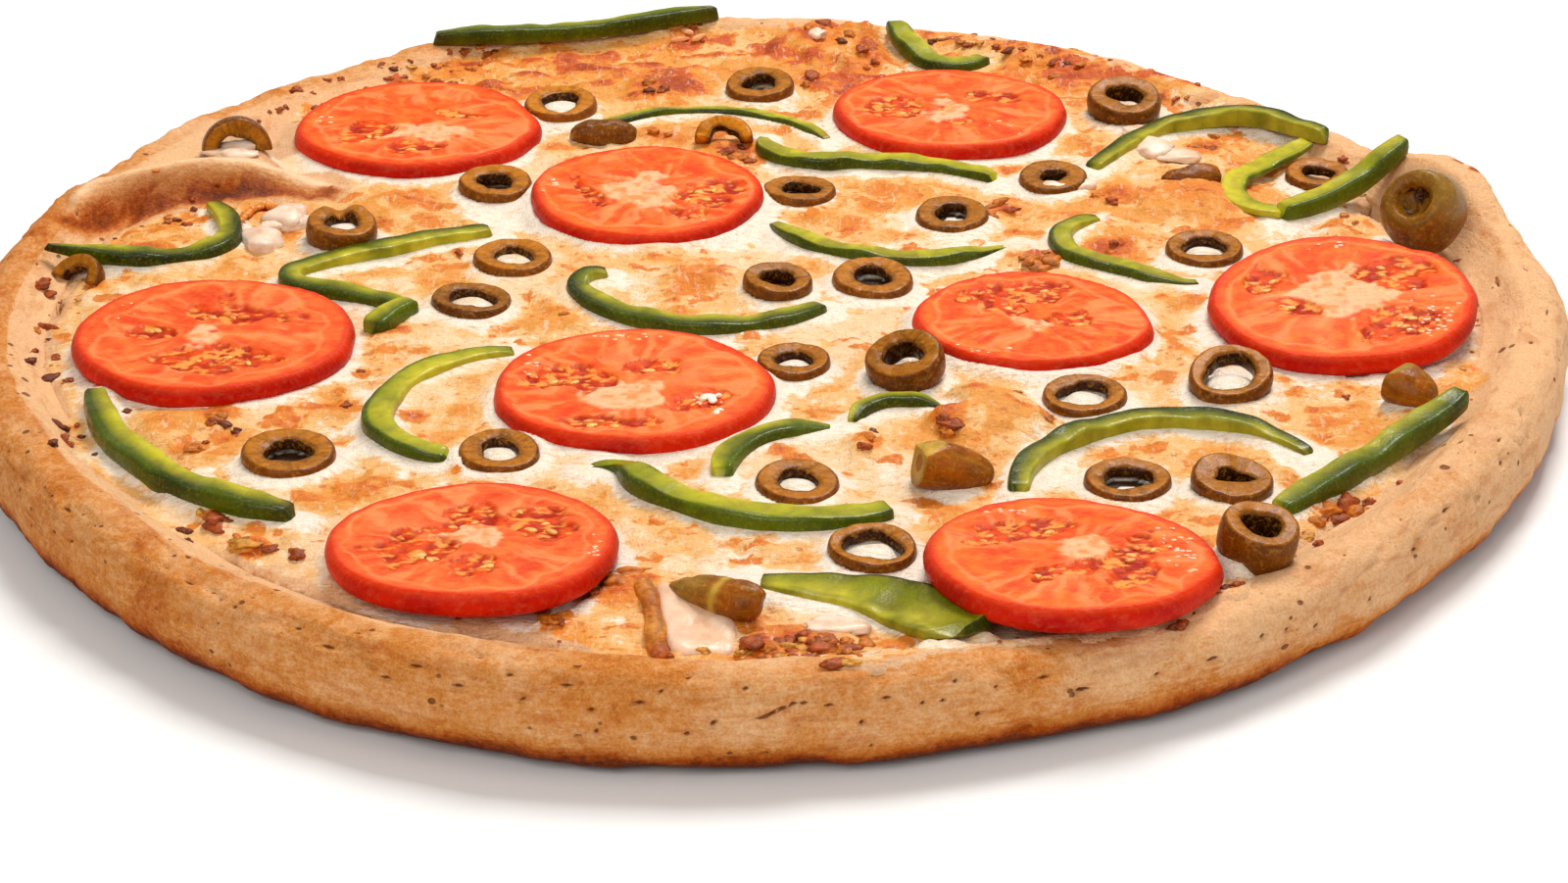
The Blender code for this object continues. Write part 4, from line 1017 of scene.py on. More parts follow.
# for each slice, in shares of its radius: the pale core, then the hollows with
# jelly and seeds - middle across and in depth, half sizes, turn in degrees
INSIDES = (
    ((0.05, -0.20, 0.44, 0.27, -14), ((-0.42, -0.28, 0.20, 0.22, -30), (0.10, -0.62, 0.26, 0.10, -8), (0.30, 0.22, 0.22, 0.08, -12))),
    ((-0.08, -0.10, 0.22, 0.36, 10), ((-0.42, -0.02, 0.22, 0.24, 0), (0.34, 0.26, 0.24, 0.13, -22), (0.08, -0.36, 0.14, 0.10, 0))),
    ((-0.08, -0.04, 0.32, 0.46, 0), ((-0.46, -0.10, 0.10, 0.34, 10), (0.54, 0.02, 0.22, 0.34, -20), (0.34, -0.48, 0.12, 0.14, 0))),
    ((-0.02, -0.08, 0.18, 0.20, -20), ((0.12, 0.36, 0.44, 0.20, -14), (-0.50, 0.0, 0.17, 0.11, 0), (0.05, -0.44, 0.42, 0.18, -16))),
    ((0.02, 0.08, 0.38, 0.38, 0), ((-0.54, 0.36, 0.17, 0.22, 20), (-0.34, -0.16, 0.15, 0.13, 0), (0.42, 0.34, 0.22, 0.18, -20), (0.42, -0.46, 0.26, 0.24, 10))),
    ((0.0, -0.16, 0.16, 0.20, 0), ((0.02, 0.58, 0.34, 0.20, -5), (-0.38, 0.36, 0.18, 0.24, 20), (0.32, -0.06, 0.14, 0.12, 20), (-0.1, 0.22, 0.14, 0.14, 0))),
    ((-0.07, -0.28, 0.36, 0.26, -8), ((-0.46, 0.12, 0.22, 0.30, 20), (0.14, 0.30, 0.26, 0.15, 25), (0.52, -0.34, 0.20, 0.18, 15), (-0.10, -0.68, 0.34, 0.10, -6))),
    ((-0.06, 0.0, 0.20, 0.20, 0), ((-0.40, -0.14, 0.26, 0.30, -10), (-0.07, 0.36, 0.20, 0.18, 0), (0.42, 0.30, 0.26, 0.26, -15), (0.10, -0.46, 0.18, 0.15, 0))),
    ((0.12, 0.08, 0.28, 0.24, 25), ((-0.32, 0.34, 0.38, 0.15, 28), (0.44, -0.10, 0.17, 0.38, -22), (-0.14, -0.36, 0.26, 0.12, 30))),
)


def tomato(k, name, cx, cy, dia, deep, corner, tx, ty):
    n = 208
    t = 2 * PI * np.arange(n) / n
    r = dia / 2
    shape = r * (1 + 0.012 * np.sin(5 * t + cx) + 0.012 * np.cos(3 * t + cy))
    if corner is not None:
        shape = shape * (1 + 0.05 * np.exp(-(turn(np.degrees(t), corner) / 16.0) ** 2))
    shape = shape * (1 + 0.006 * noise2(np.cos(t) * 6 + 9 * k, np.sin(t) * 6, 3))
    H = TOMATO_THICK
    rows = [(0.45, 0.0), (0.80, 0.0), (0.92, 0.0), (0.965, 0.22), (0.992, 0.8), (1.005, 1.6), (1.008, 2.5), (1.0, 3.3),
            (0.99, 3.9), (0.976, 4.3), (0.964, 4.5), (0.952, 4.58)]
    side_rows = len(rows)
    for u in np.linspace(0.938, 0.012, 50):
        rows.append((u, H))
    rho = np.array([a for a, _ in rows])[:, None] + 0 * t
    z = np.array([b for _, b in rows])[:, None] + 0 * t
    X, Y = rho * shape * np.cos(t), rho * shape * deep * np.sin(t)
    U, V = rho * np.cos(t), rho * np.sin(t)
    seed = 100 + 17 * k
    wx, wy = 0.10 * fbm2(U, V, 0.45, 3, seed), 0.10 * fbm2(U, V, 0.45, 3, seed + 5)
    u2, v2 = U + wx, V + wy
    r2, t2 = np.hypot(u2, v2), np.arctan2(v2, u2)
    rng = np.random.default_rng(seed)
    (cu, cv, cru, crv, cway), locules = INSIDES[k]

    def oval(u, v, ru, rv, way):
        c, s = math.cos(math.radians(way)), math.sin(math.radians(way))
        a, b = (u2 - u) * c + (v2 - v) * s, -(u2 - u) * s + (v2 - v) * c
        return np.hypot(a / ru, b / rv)
    fib = fbm2(U * 1.0, V * 1.0, 0.09, 3, seed + 20)
    ringy = fbm3(np.stack([np.cos(t2) * 2.6, np.sin(t2) * 2.6, r2 * 17.0], -1), 1.0, 3, seed + 22)
    coarse = fbm2(U, V, 0.16, 3, seed + 9)
    gel = np.zeros(r2.shape)
    for lu, lv, lru, lrv, way in locules:
        q = oval(lu, lv, lru, lrv, way)
        gel = np.maximum(gel, step(-0.30, 0.10, 1 - q ** 1.5 + 0.50 * coarse))
        c, s = math.cos(math.radians(way)), math.sin(math.radians(way))
        for _ in range(int(3 + 55 * lru * lrv)):
            a, b = rng.uniform(-0.85, 0.85) * lru, rng.uniform(-0.85, 0.85) * lrv
            su, sv = lu + a * c - b * s, lv + a * s + b * c
            SEEDS.append((k, min(math.hypot(su, sv), 0.84), math.atan2(sv, su), math.radians(way) + rng.normal(0, 0.7), rng.uniform(0.75, 1.15)))
    gel = gel * (1 - step(0.80, 0.90, r2))
    top = (np.arange(len(rows)) >= side_rows - 2)[:, None] + 0 * t
    qc = oval(cu, cv, cru, crv, cway)
    core = step(0.0, 0.34, 1 - qc ** 1.6 + 0.5 * coarse + 0.15 * fib) * (1 - gel)
    # pale bands run from the core to the wall between the locules
    ang = np.arctan2(v2 - cv, u2 - cu)
    spoke = np.zeros(r2.shape)
    for _ in range(5):
        a0 = rng.uniform(0, 2 * PI)
        w0 = rng.uniform(0.10, 0.2)
        spoke = np.maximum(spoke, np.exp(-(np.abs((ang - a0 + PI) % (2 * PI) - PI) / w0) ** 2) * rng.uniform(0.4, 1.0))
    septa = spoke * (1 - gel) * (1 - step(0.55, 0.78, r2))
    wall = step(0.62, 0.80, r2)
    z = z + top * (-0.75 * gel * (0.8 + 0.5 * fib) + 0.16 * core + 0.12 * septa + 0.09 * fib + 0.07 * ringy * wall)
    vein = np.exp(-((r2 - 0.86 - 0.02 * ringy) / 0.018) ** 2) * top
    z = z + 0.05 * vein
    lip = np.exp(-((rho - 0.955) / 0.018) ** 2) * top
    z = z + 0.14 * lip
    pink = {3: 0.9, 7: 1.0, 6: 0.45, 1: 0.4}.get(k, 0.2)
    col = lerp(lerp(rgb(234, 70, 4), rgb(230, 76, 24), pink), lerp(rgb(247, 116, 24), rgb(243, 116, 50), pink),
               np.clip(0.50 + 0.30 * ringy + 0.42 * fib + 0.16 * coarse, 0, 1))
    radial = fbm3(np.stack([np.cos(t2) * 9.0, np.sin(t2) * 9.0, r2 * 2.6], -1), 1.0, 3, seed + 50)
    ray = step(0.05, 0.55, radial) * step(0.25, 0.5, r2) * (1 - step(0.80, 0.92, r2))
    col = lerp(col, rgb(251, 158, 96), 0.50 * ray)
    col = lerp(col, rgb(216, 44, 2), 0.45 * step(0.15, 0.6, -radial) * step(0.3, 0.5, r2) * (1 - step(0.72, 0.86, r2)))
    col = lerp(col, rgb(250, 156, 92), np.clip(0.60 * septa + 0.55 * vein, 0, 1))
    col = lerp(col, lerp(rgb(254, 206, 158), rgb(247, 146, 84), np.clip(0.35 + 1.0 * fib, 0, 1)), np.clip(core * (0.9 + 0.4 * fib), 0, 1))
    deepc = lerp(rgb(228, 74, 4), rgb(164, 14, 0), np.clip(0.55 + 0.9 * fib, 0, 1))
    deepc = lerp(deepc, rgb(248, 164, 72), step(0.15, 0.55, fbm2(U * 0.6 + V * 0.5, V * 1.1 - U * 0.5, 0.05, 2, seed + 41)) * 0.85)
    col = lerp(col, deepc, np.clip(gel * 0.95, 0, 1))
    edge_of = np.clip(1 - np.abs(gel - 0.45) / 0.3, 0, 1) * top
    col = lerp(col, rgb(172, 20, 0), edge_of * np.clip(0.55 + 0.6 * coarse, 0, 1) * 0.8)
    rimc = step(0.90, 0.965, rho + 0.012 * ringy)
    col = lerp(col, rgb(218, 40, 4), rimc * 0.9)
    side = 1.0 - top
    sk = lerp(rgb(212, 32, 0), rgb(180, 8, 0), np.clip(0.4 + 0.7 * fbm2(np.cos(t) * 5 + 0 * rho, np.sin(t) * 5 + z * 0.3, 1.5, 3, seed + 30), 0, 1))
    sk = lerp(sk, rgb(232, 76, 10), step(3.6, 4.5, z) * 0.5)
    col = np.where(side[..., None] > 0.5, sk, col)
    spin = np.array(Matrix.Rotation(math.radians(tx), 3, 'X') @ Matrix.Rotation(math.radians(ty), 3, 'Y'))
    if name == "tomato_5":
        notch = np.exp(-((t[None, :] - 0.86) / 0.11) ** 2) * step(0.80, 1.0, rho)
        X, Y = X * (1 - 0.045 * notch), Y * (1 - 0.045 * notch)
    P = np.stack([X, Y, z], -1) @ spin.T
    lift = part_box(name)[0].z / MM - P[..., 2].min()
    P += np.array([cx, cy, lift])
    ends = np.array([[0, 0, 0.0], [0, 0, H]]) @ spin.T + np.array([cx, cy, lift])
    ends[1, 2] = P[-1, :, 2].mean()
    co = np.vstack([P.reshape(-1, 3), ends])
    nr = len(rows)
    faces = [grid_faces(nr, n), fan(np.arange(n), nr * n, True), fan(np.arange(n) + (nr - 1) * n, nr * n + 1)]
    tint = np.vstack([col.reshape(-1, 3), [rgb(220, 60, 20), col[-1].mean(0)]])
    build("slice_" + name, co, faces, tint=tint, mat=MAT_TOMATO, nodes=(name,))
    return spin, lift, shape, deep, cx, cy


PLACES = [tomato(k, *row) for k, row in enumerate(TOMATOES)]


# ================================================================ small things as joined meshes
def ball(subdiv=3):
    import bmesh
    bm = bmesh.new()
    bmesh.ops.create_icosphere(bm, subdivisions=subdiv, radius=1.0)
    v = np.array([q.co[:] for q in bm.verts])
    f = np.array([[q.index for q in p.verts] for p in bm.faces])
    bm.free()
    return v, f


class Heap:
    """Many small bodies that become one mesh."""

    def __init__(self):
        self.v, self.f, self.c, self.n = [], [], [], 0

    def add(self, v, f, c):
        self.v.append(v)
        self.f.append(f + self.n)
        self.c.append(np.broadcast_to(c, v.shape) if np.ndim(c) == 1 else c)
        self.n += len(v)

    def done(self, name, mat):
        return build(name, np.vstack(self.v), [np.vstack(self.f)], tint=np.vstack(self.c), mat=mat)


BALL2, BALL3 = ball(2), ball(3)

seeds = Heap()
for k, sr, sa, way, size in SEEDS:
    spin, lift, shape, deep, cx, cy = PLACES[k]
    i = int(round(sa / (2 * PI) * len(shape))) % len(shape)
    q = np.array([sr * shape[i] * math.cos(sa), sr * shape[i] * deep * math.sin(sa), TOMATO_THICK - 0.62])
    v = BALL2[0] * np.array([1.55, 0.85, 0.5]) * size * 0.78
    v[:, 0] += 0.25 * v[:, 1] ** 2
    c, s = math.cos(way), math.sin(way)
    v = v @ np.array([[c, -s, 0], [s, c, 0], [0, 0, 1]]).T
    seeds.add((v + q) @ spin.T + np.array([cx, cy, lift]), BALL2[1], lerp(rgb(252, 196, 104), rgb(238, 120, 36), 0.5 + 0.5 * math.sin(40 * sr)))
seeds.done("tomato_seeds", MAT_SEED)


# small wet drops on the cut faces, tinted pale as painted highlights
glint_drops = Heap()
rng = np.random.default_rng(61)
for k, cu, cv, ru, rv, count in ((4, 0.62, -0.45, 0.26, 0.36, 46), (4, -0.1, 0.86, 0.5, 0.08, 8), (8, 0.74, 0.12, 0.14, 0.50, 30), (8, -0.3, 0.7, 0.4, 0.1, 8),
                                 (6, 0.0, 0.84, 0.5, 0.08, 14), (6, 0.52, -0.30, 0.16, 0.14, 7), (6, -0.74, 0.2, 0.10, 0.3, 8), (7, 0.86, -0.1, 0.06, 0.4, 10),
                                 (2, 0.55, -0.72, 0.25, 0.12, 8), (2, -0.82, 0.1, 0.06, 0.3, 7), (0, -0.78, 0.1, 0.10, 0.3, 8), (3, -0.7, 0.3, 0.15, 0.3, 8),
                                 (1, 0.5, -0.5, 0.3, 0.2, 6), (5, -0.4, -0.7, 0.4, 0.12, 8)):
    spin, lift, shape, deep, cx, cy = PLACES[k]
    for _ in range(count):
        u, v = cu + rng.normal(0, 0.5) * ru, cv + rng.normal(0, 0.5) * rv
        if math.hypot(u, v) > 0.93:
            continue
        r = float(shape.mean())
        size = rng.uniform(0.16, 0.42)
        b = BALL2[0] * np.array([size * rng.uniform(1.0, 2.0), size, size * 0.55])
        glint_drops.add((b + np.array([u * r, v * r * deep, TOMATO_THICK + 0.04])) @ spin.T + np.array([cx, cy, lift]), BALL2[1], rgb(252, 206, 172))
# two pale pools on the middle slice: a painted highlight of its wet jelly
spin, lift, shape, deep, cx, cy = PLACES[6]
for u, v, a, b in ((0.54, -0.24, 1.6, 1.1), (0.57, -0.30, 0.9, 1.3), (0.50, -0.28, 0.8, 0.6), (0.61, -0.22, 0.7, 0.5), (0.60, -0.52, 0.7, 0.9), (0.62, -0.48, 0.9, 0.4)):
    r = float(shape.mean())
    glint_drops.add((BALL3[0] * np.array([a, b, 0.5]) + np.array([u * r, v * r * deep, TOMATO_THICK - 0.05])) @ spin.T + np.array([cx, cy, lift]), BALL3[1], rgb(255, 238, 216))
glint_drops.done("tomato_glint_drops", MAT_GLINT_DROP)


# ================================================================ pepper strips
# tones: skin, flesh, share of the top that shows skin, charred start, charred end
TONES = {
    "pepper_01": (0.60, 0.45, 0.60, 0.9, 1.0), "pepper_02": (0.55, 0.75, 0.15, 0.6, 0.9), "pepper_03": (0.45, 0.95, 0.12, 0.3, 0.2),
    "pepper_04": (0.50, 0.80, 0.25, 0.0, 1.2), "pepper_05": (0.35, 0.85, 0.10, 0.5, 0.4), "pepper_06": (0.40, 0.64, 0.36, 0.2, 0.2),
    "pepper_07": (0.80, 0.70, 0.20, 0.1, 0.2), "pepper_08": (0.35, 0.70, 0.22, 0.2, 0.3), "pepper_09": (0.40, 0.60, 0.35, 0.3, 0.3),
    "pepper_10": (0.35, 0.70, 0.30, 1.0, 0.4), "pepper_11": (0.45, 0.66, 0.32, 0.3, 0.1), "pepper_12": (0.55, 0.75, 0.18, 0.2, 0.1),
    "pepper_13": (0.55, 0.80, 0.36, 0.4, 0.9), "pepper_14": (0.80, 0.75, 0.40, 0.1, 0.1), "pepper_15": (0.30, 0.55, 0.50, 0.3, 0.1),
    "pepper_16": (0.80, 0.88, 0.16, 0.6, 0.1), "pepper_17": (0.34, 0.56, 0.42, 0.1, 0.5), "pepper_18": (0.80, 0.55, 0.52, 0.1, 0.1),
    "pepper_19": (0.10, 0.70, 0.15, 0.3, 0.1), "back": (0.9, 1.05, 0.06, 0.0, 0.0), "curl": (0.9, 0.7, 0.3, 0.4, 0.1),
}
# slimmer ends: share of the width at the start, over what share of the length; the same at the end
TAPER = {
    "pepper_10": (0.35, 0.35, 1.0, 0.1), "pepper_16": (0.30, 0.22, 1.08, 0.2), "pepper_05": (0.7, 0.2, 0.5, 0.3),
    "pepper_08": (0.8, 0.1, 0.6, 0.2), "pepper_14": (1.0, 0.1, 0.45, 0.3), "pepper_15": (0.7, 0.2, 0.5, 0.3),
    "pepper_03": (0.6, 0.2, 1.0, 0.1), "pepper_12": (0.75, 0.3, 1.0, 0.2), "pepper_17": (1.0, 0.1, 0.6, 0.25),
}
SECTION = ((-0.5, 0.0), (0.42, 0.0), (0.5, 0.5), (0.38, 0.95), (-0.3, 1.0), (-0.5, 0.6))


def strip(k, name, x, y, heading, arcs, width, height, skin, sections, lift=0.0, replaces=True):
    way = course(x, y, heading, arcs, sections)
    w0, w1 = width if isinstance(width, tuple) else (width, width)
    base = []
    for i, (px, py, hd) in enumerate(way):
        w = w0 + (w1 - w0) * i / (sections - 1)
        under = [float(surface(np.array(px + a * w * 0.55 * -math.sin(hd) + b * math.cos(hd)),
                               np.array(py + a * w * 0.55 * math.cos(hd) + b * math.sin(hd))))
                 for a in (-1, 0, 1) for b in (-2.0, 0.0, 2.0)]
        base.append(max(under))
    for _ in range(2):
        base = [max(base[i], (base[max(i - 1, 0)] + base[min(i + 1, sections - 1)]) / 2) for i in range(sections)]
    length = sum(a[0] for a in arcs)
    m = max(40, int(length / 0.85))
    fine = course(x, y, heading, arcs, m)
    u = np.linspace(0, 1, m)
    base = np.interp(u, np.linspace(0, 1, sections), base)
    for _ in range(4):
        base[1:-1] = (base[:-2] + 2 * base[1:-1] + base[2:]) / 4
    # section of the strip: a wall of the fruit lying on its cut side; skin at +0.5
    sec = []
    ring = 26
    for i in range(ring):
        a = 2 * PI * i / ring
        ca, sa = math.cos(a), math.sin(a)
        ex = 0.32
        sec.append((0.5 * math.copysign(abs(ca) ** ex, ca), 0.5 + 0.5 * math.copysign(abs(sa) ** ex, sa)))
    sec = np.array(sec)
    seed = 300 + 13 * k
    # width and height wander along the strip; the inner side has the ribs of the fruit
    rng = np.random.default_rng(seed)
    ends = np.abs(2 * u - 1)
    taper = 1.0 - 0.35 * ends ** 6
    round_ = np.sqrt(np.clip(1 - np.clip((ends - 0.965) / 0.035, 0, 1) ** 2, 0.05, 1))
    wob = 1 + 0.10 * noise2(u * length / 9.0, 0 * u + k, seed)
    s0, d0, s1, d1 = TAPER.get(name, (1.0, 0.1, 1.0, 0.1))
    slim = (s0 + (1 - s0) * step(0.0, d0, u)) * (s1 + (1 - s1) * step(0.0, d1, 1 - u))
    w = (w0 + (w1 - w0) * u) * taper * wob * 1.02 * round_ * slim
    h = height * (1.0 - 0.2 * ends ** 6) * (1 + 0.10 * noise2(u * length / 7.0, 0 * u + k + 9, seed)) * round_ * slim ** 0.7
    bend = 0.45 * noise2(u * length / 11.0, 0 * u + k + 4, seed + 1)
    A, B = sec[:, 0][None, :] + 0 * u[:, None], sec[:, 1][None, :] + 0 * u[:, None]
    L = (u * length)[:, None] + 0 * A
    inner = step(0.0, 0.5, -A)
    outer = step(0.15, 0.5, A)
    # the top dips between skin and the inner edge, the inner side is wavy
    off = (A + bend[:, None] * 0.12) * w[:, None]
    off = off - inner * 0.30 * (0.5 + 0.5 * noise2(L / 6.0, 0 * A + k, seed + 2))
    up = B * h[:, None]
    up += 0.22 * noise2(L / 4.0, A * 2.4, seed + 3) * step(0.5, 1.0, B)
    up -= 0.30 * np.exp(-((A - 0.05) / 0.22) ** 2) * step(0.6, 1.0, B)
    off = off + 0.30 * outer * np.sin(PI * np.clip(B, 0, 1)) * 1.2 * np.minimum(1, h / height)[:, None]
    hd = fine[:, 2][:, None]
    if name in ("pepper_19",):
        up = up + 1.6 * np.exp(-((A - 0.42) / 0.2) ** 2) * step(0.15, 0.6, u)[:, None] * step(0.4, 1.0, B)
    P = np.stack([fine[:, 0][:, None] - off * skin * np.sin(hd), fine[:, 1][:, None] + off * skin * np.cos(hd),
                  base[:, None] + REST + lift + up], -1)
    tones = TONES.get(name, TONES["back"])
    sk_t, fl_t, share, c0, c1 = tones
    n1 = fbm2(L * 0.6, A * 4 + 7 * k, 7.0, 3, seed + 5)
    n2 = fbm2(L * 0.4, A * 7 + 3 * k, 2.2, 3, seed + 6)
    skin_c = lerp(rgb(30, 40, 0), rgb(88, 106, 0), np.clip(sk_t + 0.35 * n1 + 0.15 * n2, 0, 1))
    flesh = lerp(rgb(110, 118, 0), rgb(208, 194, 52), np.clip(fl_t - 0.18 + 0.35 * n1 + 0.30 * n2, 0, 1))
    edge_at = 0.5 - share
    on_skin = step(edge_at - 0.05, edge_at + 0.07, A + 0.05 * n2) * step(-0.1, 0.3, B)
    col = lerp(flesh, skin_c, on_skin)
    green_line = np.exp(-((A - edge_at + 0.10) / 0.08) ** 2) * step(0.5, 0.9, B)
    col = lerp(col, rgb(120, 140, 6), green_line * 0.6)
    col = lerp(col, rgb(206, 204, 104), np.clip(inner * 0.22 * (1 + n2), 0, 0.5))
    char = np.clip(c0 * step(0.10, 0.0, u) + c1 * step(0.90, 1.0, u), 0, 1)[:, None]
    char = np.clip(char * (0.7 + 0.8 * n2) + 0.35 * step(0.55, 0.9, n1) * (sk_t < 0.5), 0, 0.92)
    dark = rgb(52, 30, 10) if name != "pepper_04" else rgb(150, 62, 30)
    col = lerp(col, dark, char)
    if name in ("pepper_17", "pepper_06", "pepper_18", "pepper_19"):
        col = col * 0.86
    if name == "pepper_19":
        # lighter and darker stripes along it: painted highlights and shade of its folds
        col = col * (1 + 0.30 * noise2(L / 9.0, A * 9.0, seed + 8) + 0.22 * noise2(L / 5.0, A * 17.0, seed + 9))[..., None]
    co = P.reshape(-1, 3)
    ca, cb = P[0].mean(0), P[-1].mean(0)
    co = np.vstack([co, ca, cb])
    tint = np.vstack([col.reshape(-1, 3), col[0].mean(0) * 0.8, col[-1].mean(0) * 0.8])
    flip = skin > 0
    faces = [grid_faces(m, ring, True, 0, not flip), fan(np.arange(ring), m * ring, flip),
             fan(np.arange(ring) + (m - 1) * ring, m * ring + 1, not flip)]
    return build("strip_" + name, co, faces, tint=tint, mat=MAT_PEPPER, nodes=(name,) if replaces else ())


for k, row in enumerate(PEPPERS):
    strip(k, *row)
strip(30, "back", 124, 80, 221, ((22, 6), (16, 62), (12, 66)), (5.6, 4.4), 1.8, 1, 9, 1.5, False)
_ax, _ay, _ = at(379, 341)
_bx, _by, _ = at(424, 315)
strip(31, "curl", _ax, _ay, math.degrees(math.atan2(_by - _ay, _bx - _ax)) + 14, ((math.hypot(_bx - _ax, _by - _ay), -28),), (5.2, 4.0), 4.4, -1, 7, 0.4, False)


# ================================================================ olives
def olive(k, name, kind, cx, cy, dia, thick, tilt, lean, hole, tone, replaces=True, low=None, hole_r=0.44):
    r = dia / 2
    seed = 500 + 19 * k
    axis = Vector((math.cos(math.radians(lean + 90)), math.sin(math.radians(lean + 90)), 0))
    spin = np.array(Matrix.Rotation(math.radians(tilt), 3, axis))
    wave = cx * 0.37 + cy * 0.21
    n = 64
    t = 2 * PI * np.arange(n) / n
    skin_c, cut_c, in_c = rgb(126, 68, 8) * tone, rgb(190, 120, 30) * tone, rgb(52, 16, 0)
    fine = None
    if kind == "arch":
        t = PI * np.linspace(0, 1, n)
        spin = np.array(Matrix.Rotation(math.radians(lean + 90), 3, 'Z') @ Matrix.Rotation(math.radians(90 - tilt), 3, 'X'))
    if kind in ("ring", "arch"):
        m = 34
        a = 2 * PI * np.arange(m) / m
        # rounded box section between the hole and the skin
        ex = 0.34
        ca, sa = np.cos(a), np.sin(a)
        sx = np.sign(ca) * np.abs(ca) ** ex
        sz = np.sign(sa) * np.abs(sa) ** ex
        lobes = 0.07 * np.sin(2 * t + wave) + 0.05 * np.cos(3 * t - wave * 1.7) + 0.05 * noise2(np.cos(t) * 2 + k, np.sin(t) * 2, seed)
        ri = r * hole_r * (1 + 1.6 * lobes)[:, None]
        rout = r * (1 + 0.035 * np.sin(2 * t + wave) + 0.02 * np.cos(3 * t - wave))[:, None]
        S, Q = sx[None, :], sz[None, :]
        zz = 0.5 * thick * Q * (1 + 0.06 * noise2(np.cos(t) * 2.5 + k, np.sin(t) * 2.5, seed + 1))[:, None]
        shrink = 1 - 0.055 * np.clip(Q, -1, 1) ** 2 * (S > 0)
        ro_ = rout * shrink
        ri_ = ri * (1 + 0.10 * np.clip(Q, -1, 1) ** 2)
        rad = (ro_ + ri_) / 2 + (ro_ - ri_) / 2 * S
        T = t[:, None] + 0 * rad
        cx3, cy3 = rad * np.cos(T), rad * np.sin(T)
        bump = 0.16 * fbm2(cx3 + 31 * k, cy3 + zz, 2.4, 3, seed + 2)
        zz = zz + bump * np.abs(Q) + 0.16 * (S + 0.2) * np.sign(Q) * np.abs(Q)
        if name == "olive_23":   # the thick one at the front right, its foot sunk in the cheese
            zz = zz - 1.5 * (1 - np.clip(Q, -1, 1))
        P = np.stack([cx3 * (1 + 0.012 * bump), cy3 * (1 + 0.012 * bump), zz], -1)
        rel = (rad - ri_) / np.maximum(ro_ - ri_, 0.1)
        fibre = fbm2(T * 9, rel * 2.0, 1.0, 3, seed + 3)
        col = lerp(cut_c, cut_c * 0.66, np.clip(0.45 + 0.6 * fibre, 0, 1))
        ringdark = np.exp(-((rel - 0.10) / 0.12) ** 2)
        col = lerp(col, in_c * 2.2, ringdark * 0.55)
        col = lerp(col, skin_c, step(0.84, 0.96, rel))
        arcs_ = np.exp(-((rel - 0.48 - 0.08 * np.sin(T + k)) / 0.05) ** 2) * step(-0.3, 0.5, np.sin(2 * T + 1.3 * k))
        col = lerp(col, skin_c * 0.8, arcs_ * 0.7)
        shade = 0.5 + 0.5 * np.sin(T + 2.1 * k)
        col = col * (1 - 0.28 * (shade * np.clip(0.5 + fibre, 0, 1)))[..., None]
        face = step(0.55, 0.9, np.abs(Q))
        outer = (S > 0.3) & (np.abs(Q) < 0.9)
        col = np.where(outer[..., None], skin_c * (0.85 + 0.3 * np.clip(fbm2(T * 4, zz, 1.0, 3, seed + 4), -1, 1))[..., None], col)
        inner_w = (S < -0.5) & (Q < 0.85)
        col = np.where(inner_w[..., None], in_c * (1 + 0.4 * fibre)[..., None], col)
        wrap = kind == "ring"
        if k == 2:       # a tall torn ring with a notch at the back
            g = np.exp(-((T - 1.75) / 0.28) ** 2)
            P[..., 2] -= 1.9 * g * (Q > 0) * 1.0
            P[..., 2] += 0.7 * np.exp(-((T - 4.2) / 0.9) ** 2) * (Q > 0)
        if name == "olive_22":   # squashed to a slit, its far wall pressed up
            P[..., 1] *= np.where(S < 0, 0.50, 1.0)
            P[..., 2] += 0.9 * np.exp(-((T - 2.0) / 0.7) ** 2) * (Q > 0)
        if k in (12, 13, 21):   # rings whose wall curls into the hole
            curl = np.exp(-(((T + (0.9 * k)) % (2 * PI) - PI) / 0.5) ** 2)
            P[..., 0] *= 1 - 0.28 * curl * (S < 0)
            P[..., 1] *= 1 - 0.28 * curl * (S < 0)
        P = P @ spin.T
        co = P.reshape(-1, 3)
        tint = col.reshape(-1, 3)
        nn = n
        if wrap:
            i = np.arange(n)[:, None]
            j = np.arange(m)[None, :]
            i2, j2 = (i + 1) % n, (j + 1) % m
            f = np.stack([i * m + j, i2 * m + j, i2 * m + j2, i * m + j2], -1).reshape(-1, 4)
            faces = [f]
        else:
            f = grid_faces(n, m, True, 0, True)
            faces = [f, fan(np.arange(m), n * m, False), fan(np.arange(m) + (n - 1) * m, n * m + 1, True)]
            co = np.vstack([co, P[0].mean(0), P[-1].mean(0)])
            tint = np.vstack([tint, cut_c, cut_c])
    else:
        prof = {
            "barrel": ((0.30, 0.01), (0.62, 0.0), (0.80, 0.04), (0.90, 0.12), (0.97, 0.25), (1.0, 0.42), (0.99, 0.55), (0.95, 0.68),
                       (0.88, 0.82), (0.80, 0.92), (0.72, 0.975), (0.62, 0.985), (0.54, 0.97), (0.48, 0.96), (0.43, 0.92), (0.38, 0.86), (0.28, 0.80), (0.12, 0.78)),
            "end": ((0.30, 0.02), (0.70, 0.0), (0.93, 0.0), (0.97, 0.04), (0.98, 0.12), (0.97, 0.25), (0.93, 0.42), (0.85, 0.60), (0.72, 0.76),
                    (0.56, 0.88), (0.36, 0.96), (0.15, 0.995)),
            "lump": ((0.25, 0.01), (0.50, 0.03), (0.72, 0.09), (0.88, 0.18), (0.98, 0.30), (1.0, 0.42), (0.99, 0.55), (0.95, 0.68), (0.84, 0.80),
                     (0.66, 0.90), (0.42, 0.97), (0.18, 0.995)),
        }[kind]
        ps = np.array(prof)
        par = np.linspace(0, 1, len(ps))
        fp = np.linspace(0, 1, 44)
        share, hgt = np.interp(fp, par, ps[:, 0]), np.interp(fp, par, ps[:, 1])
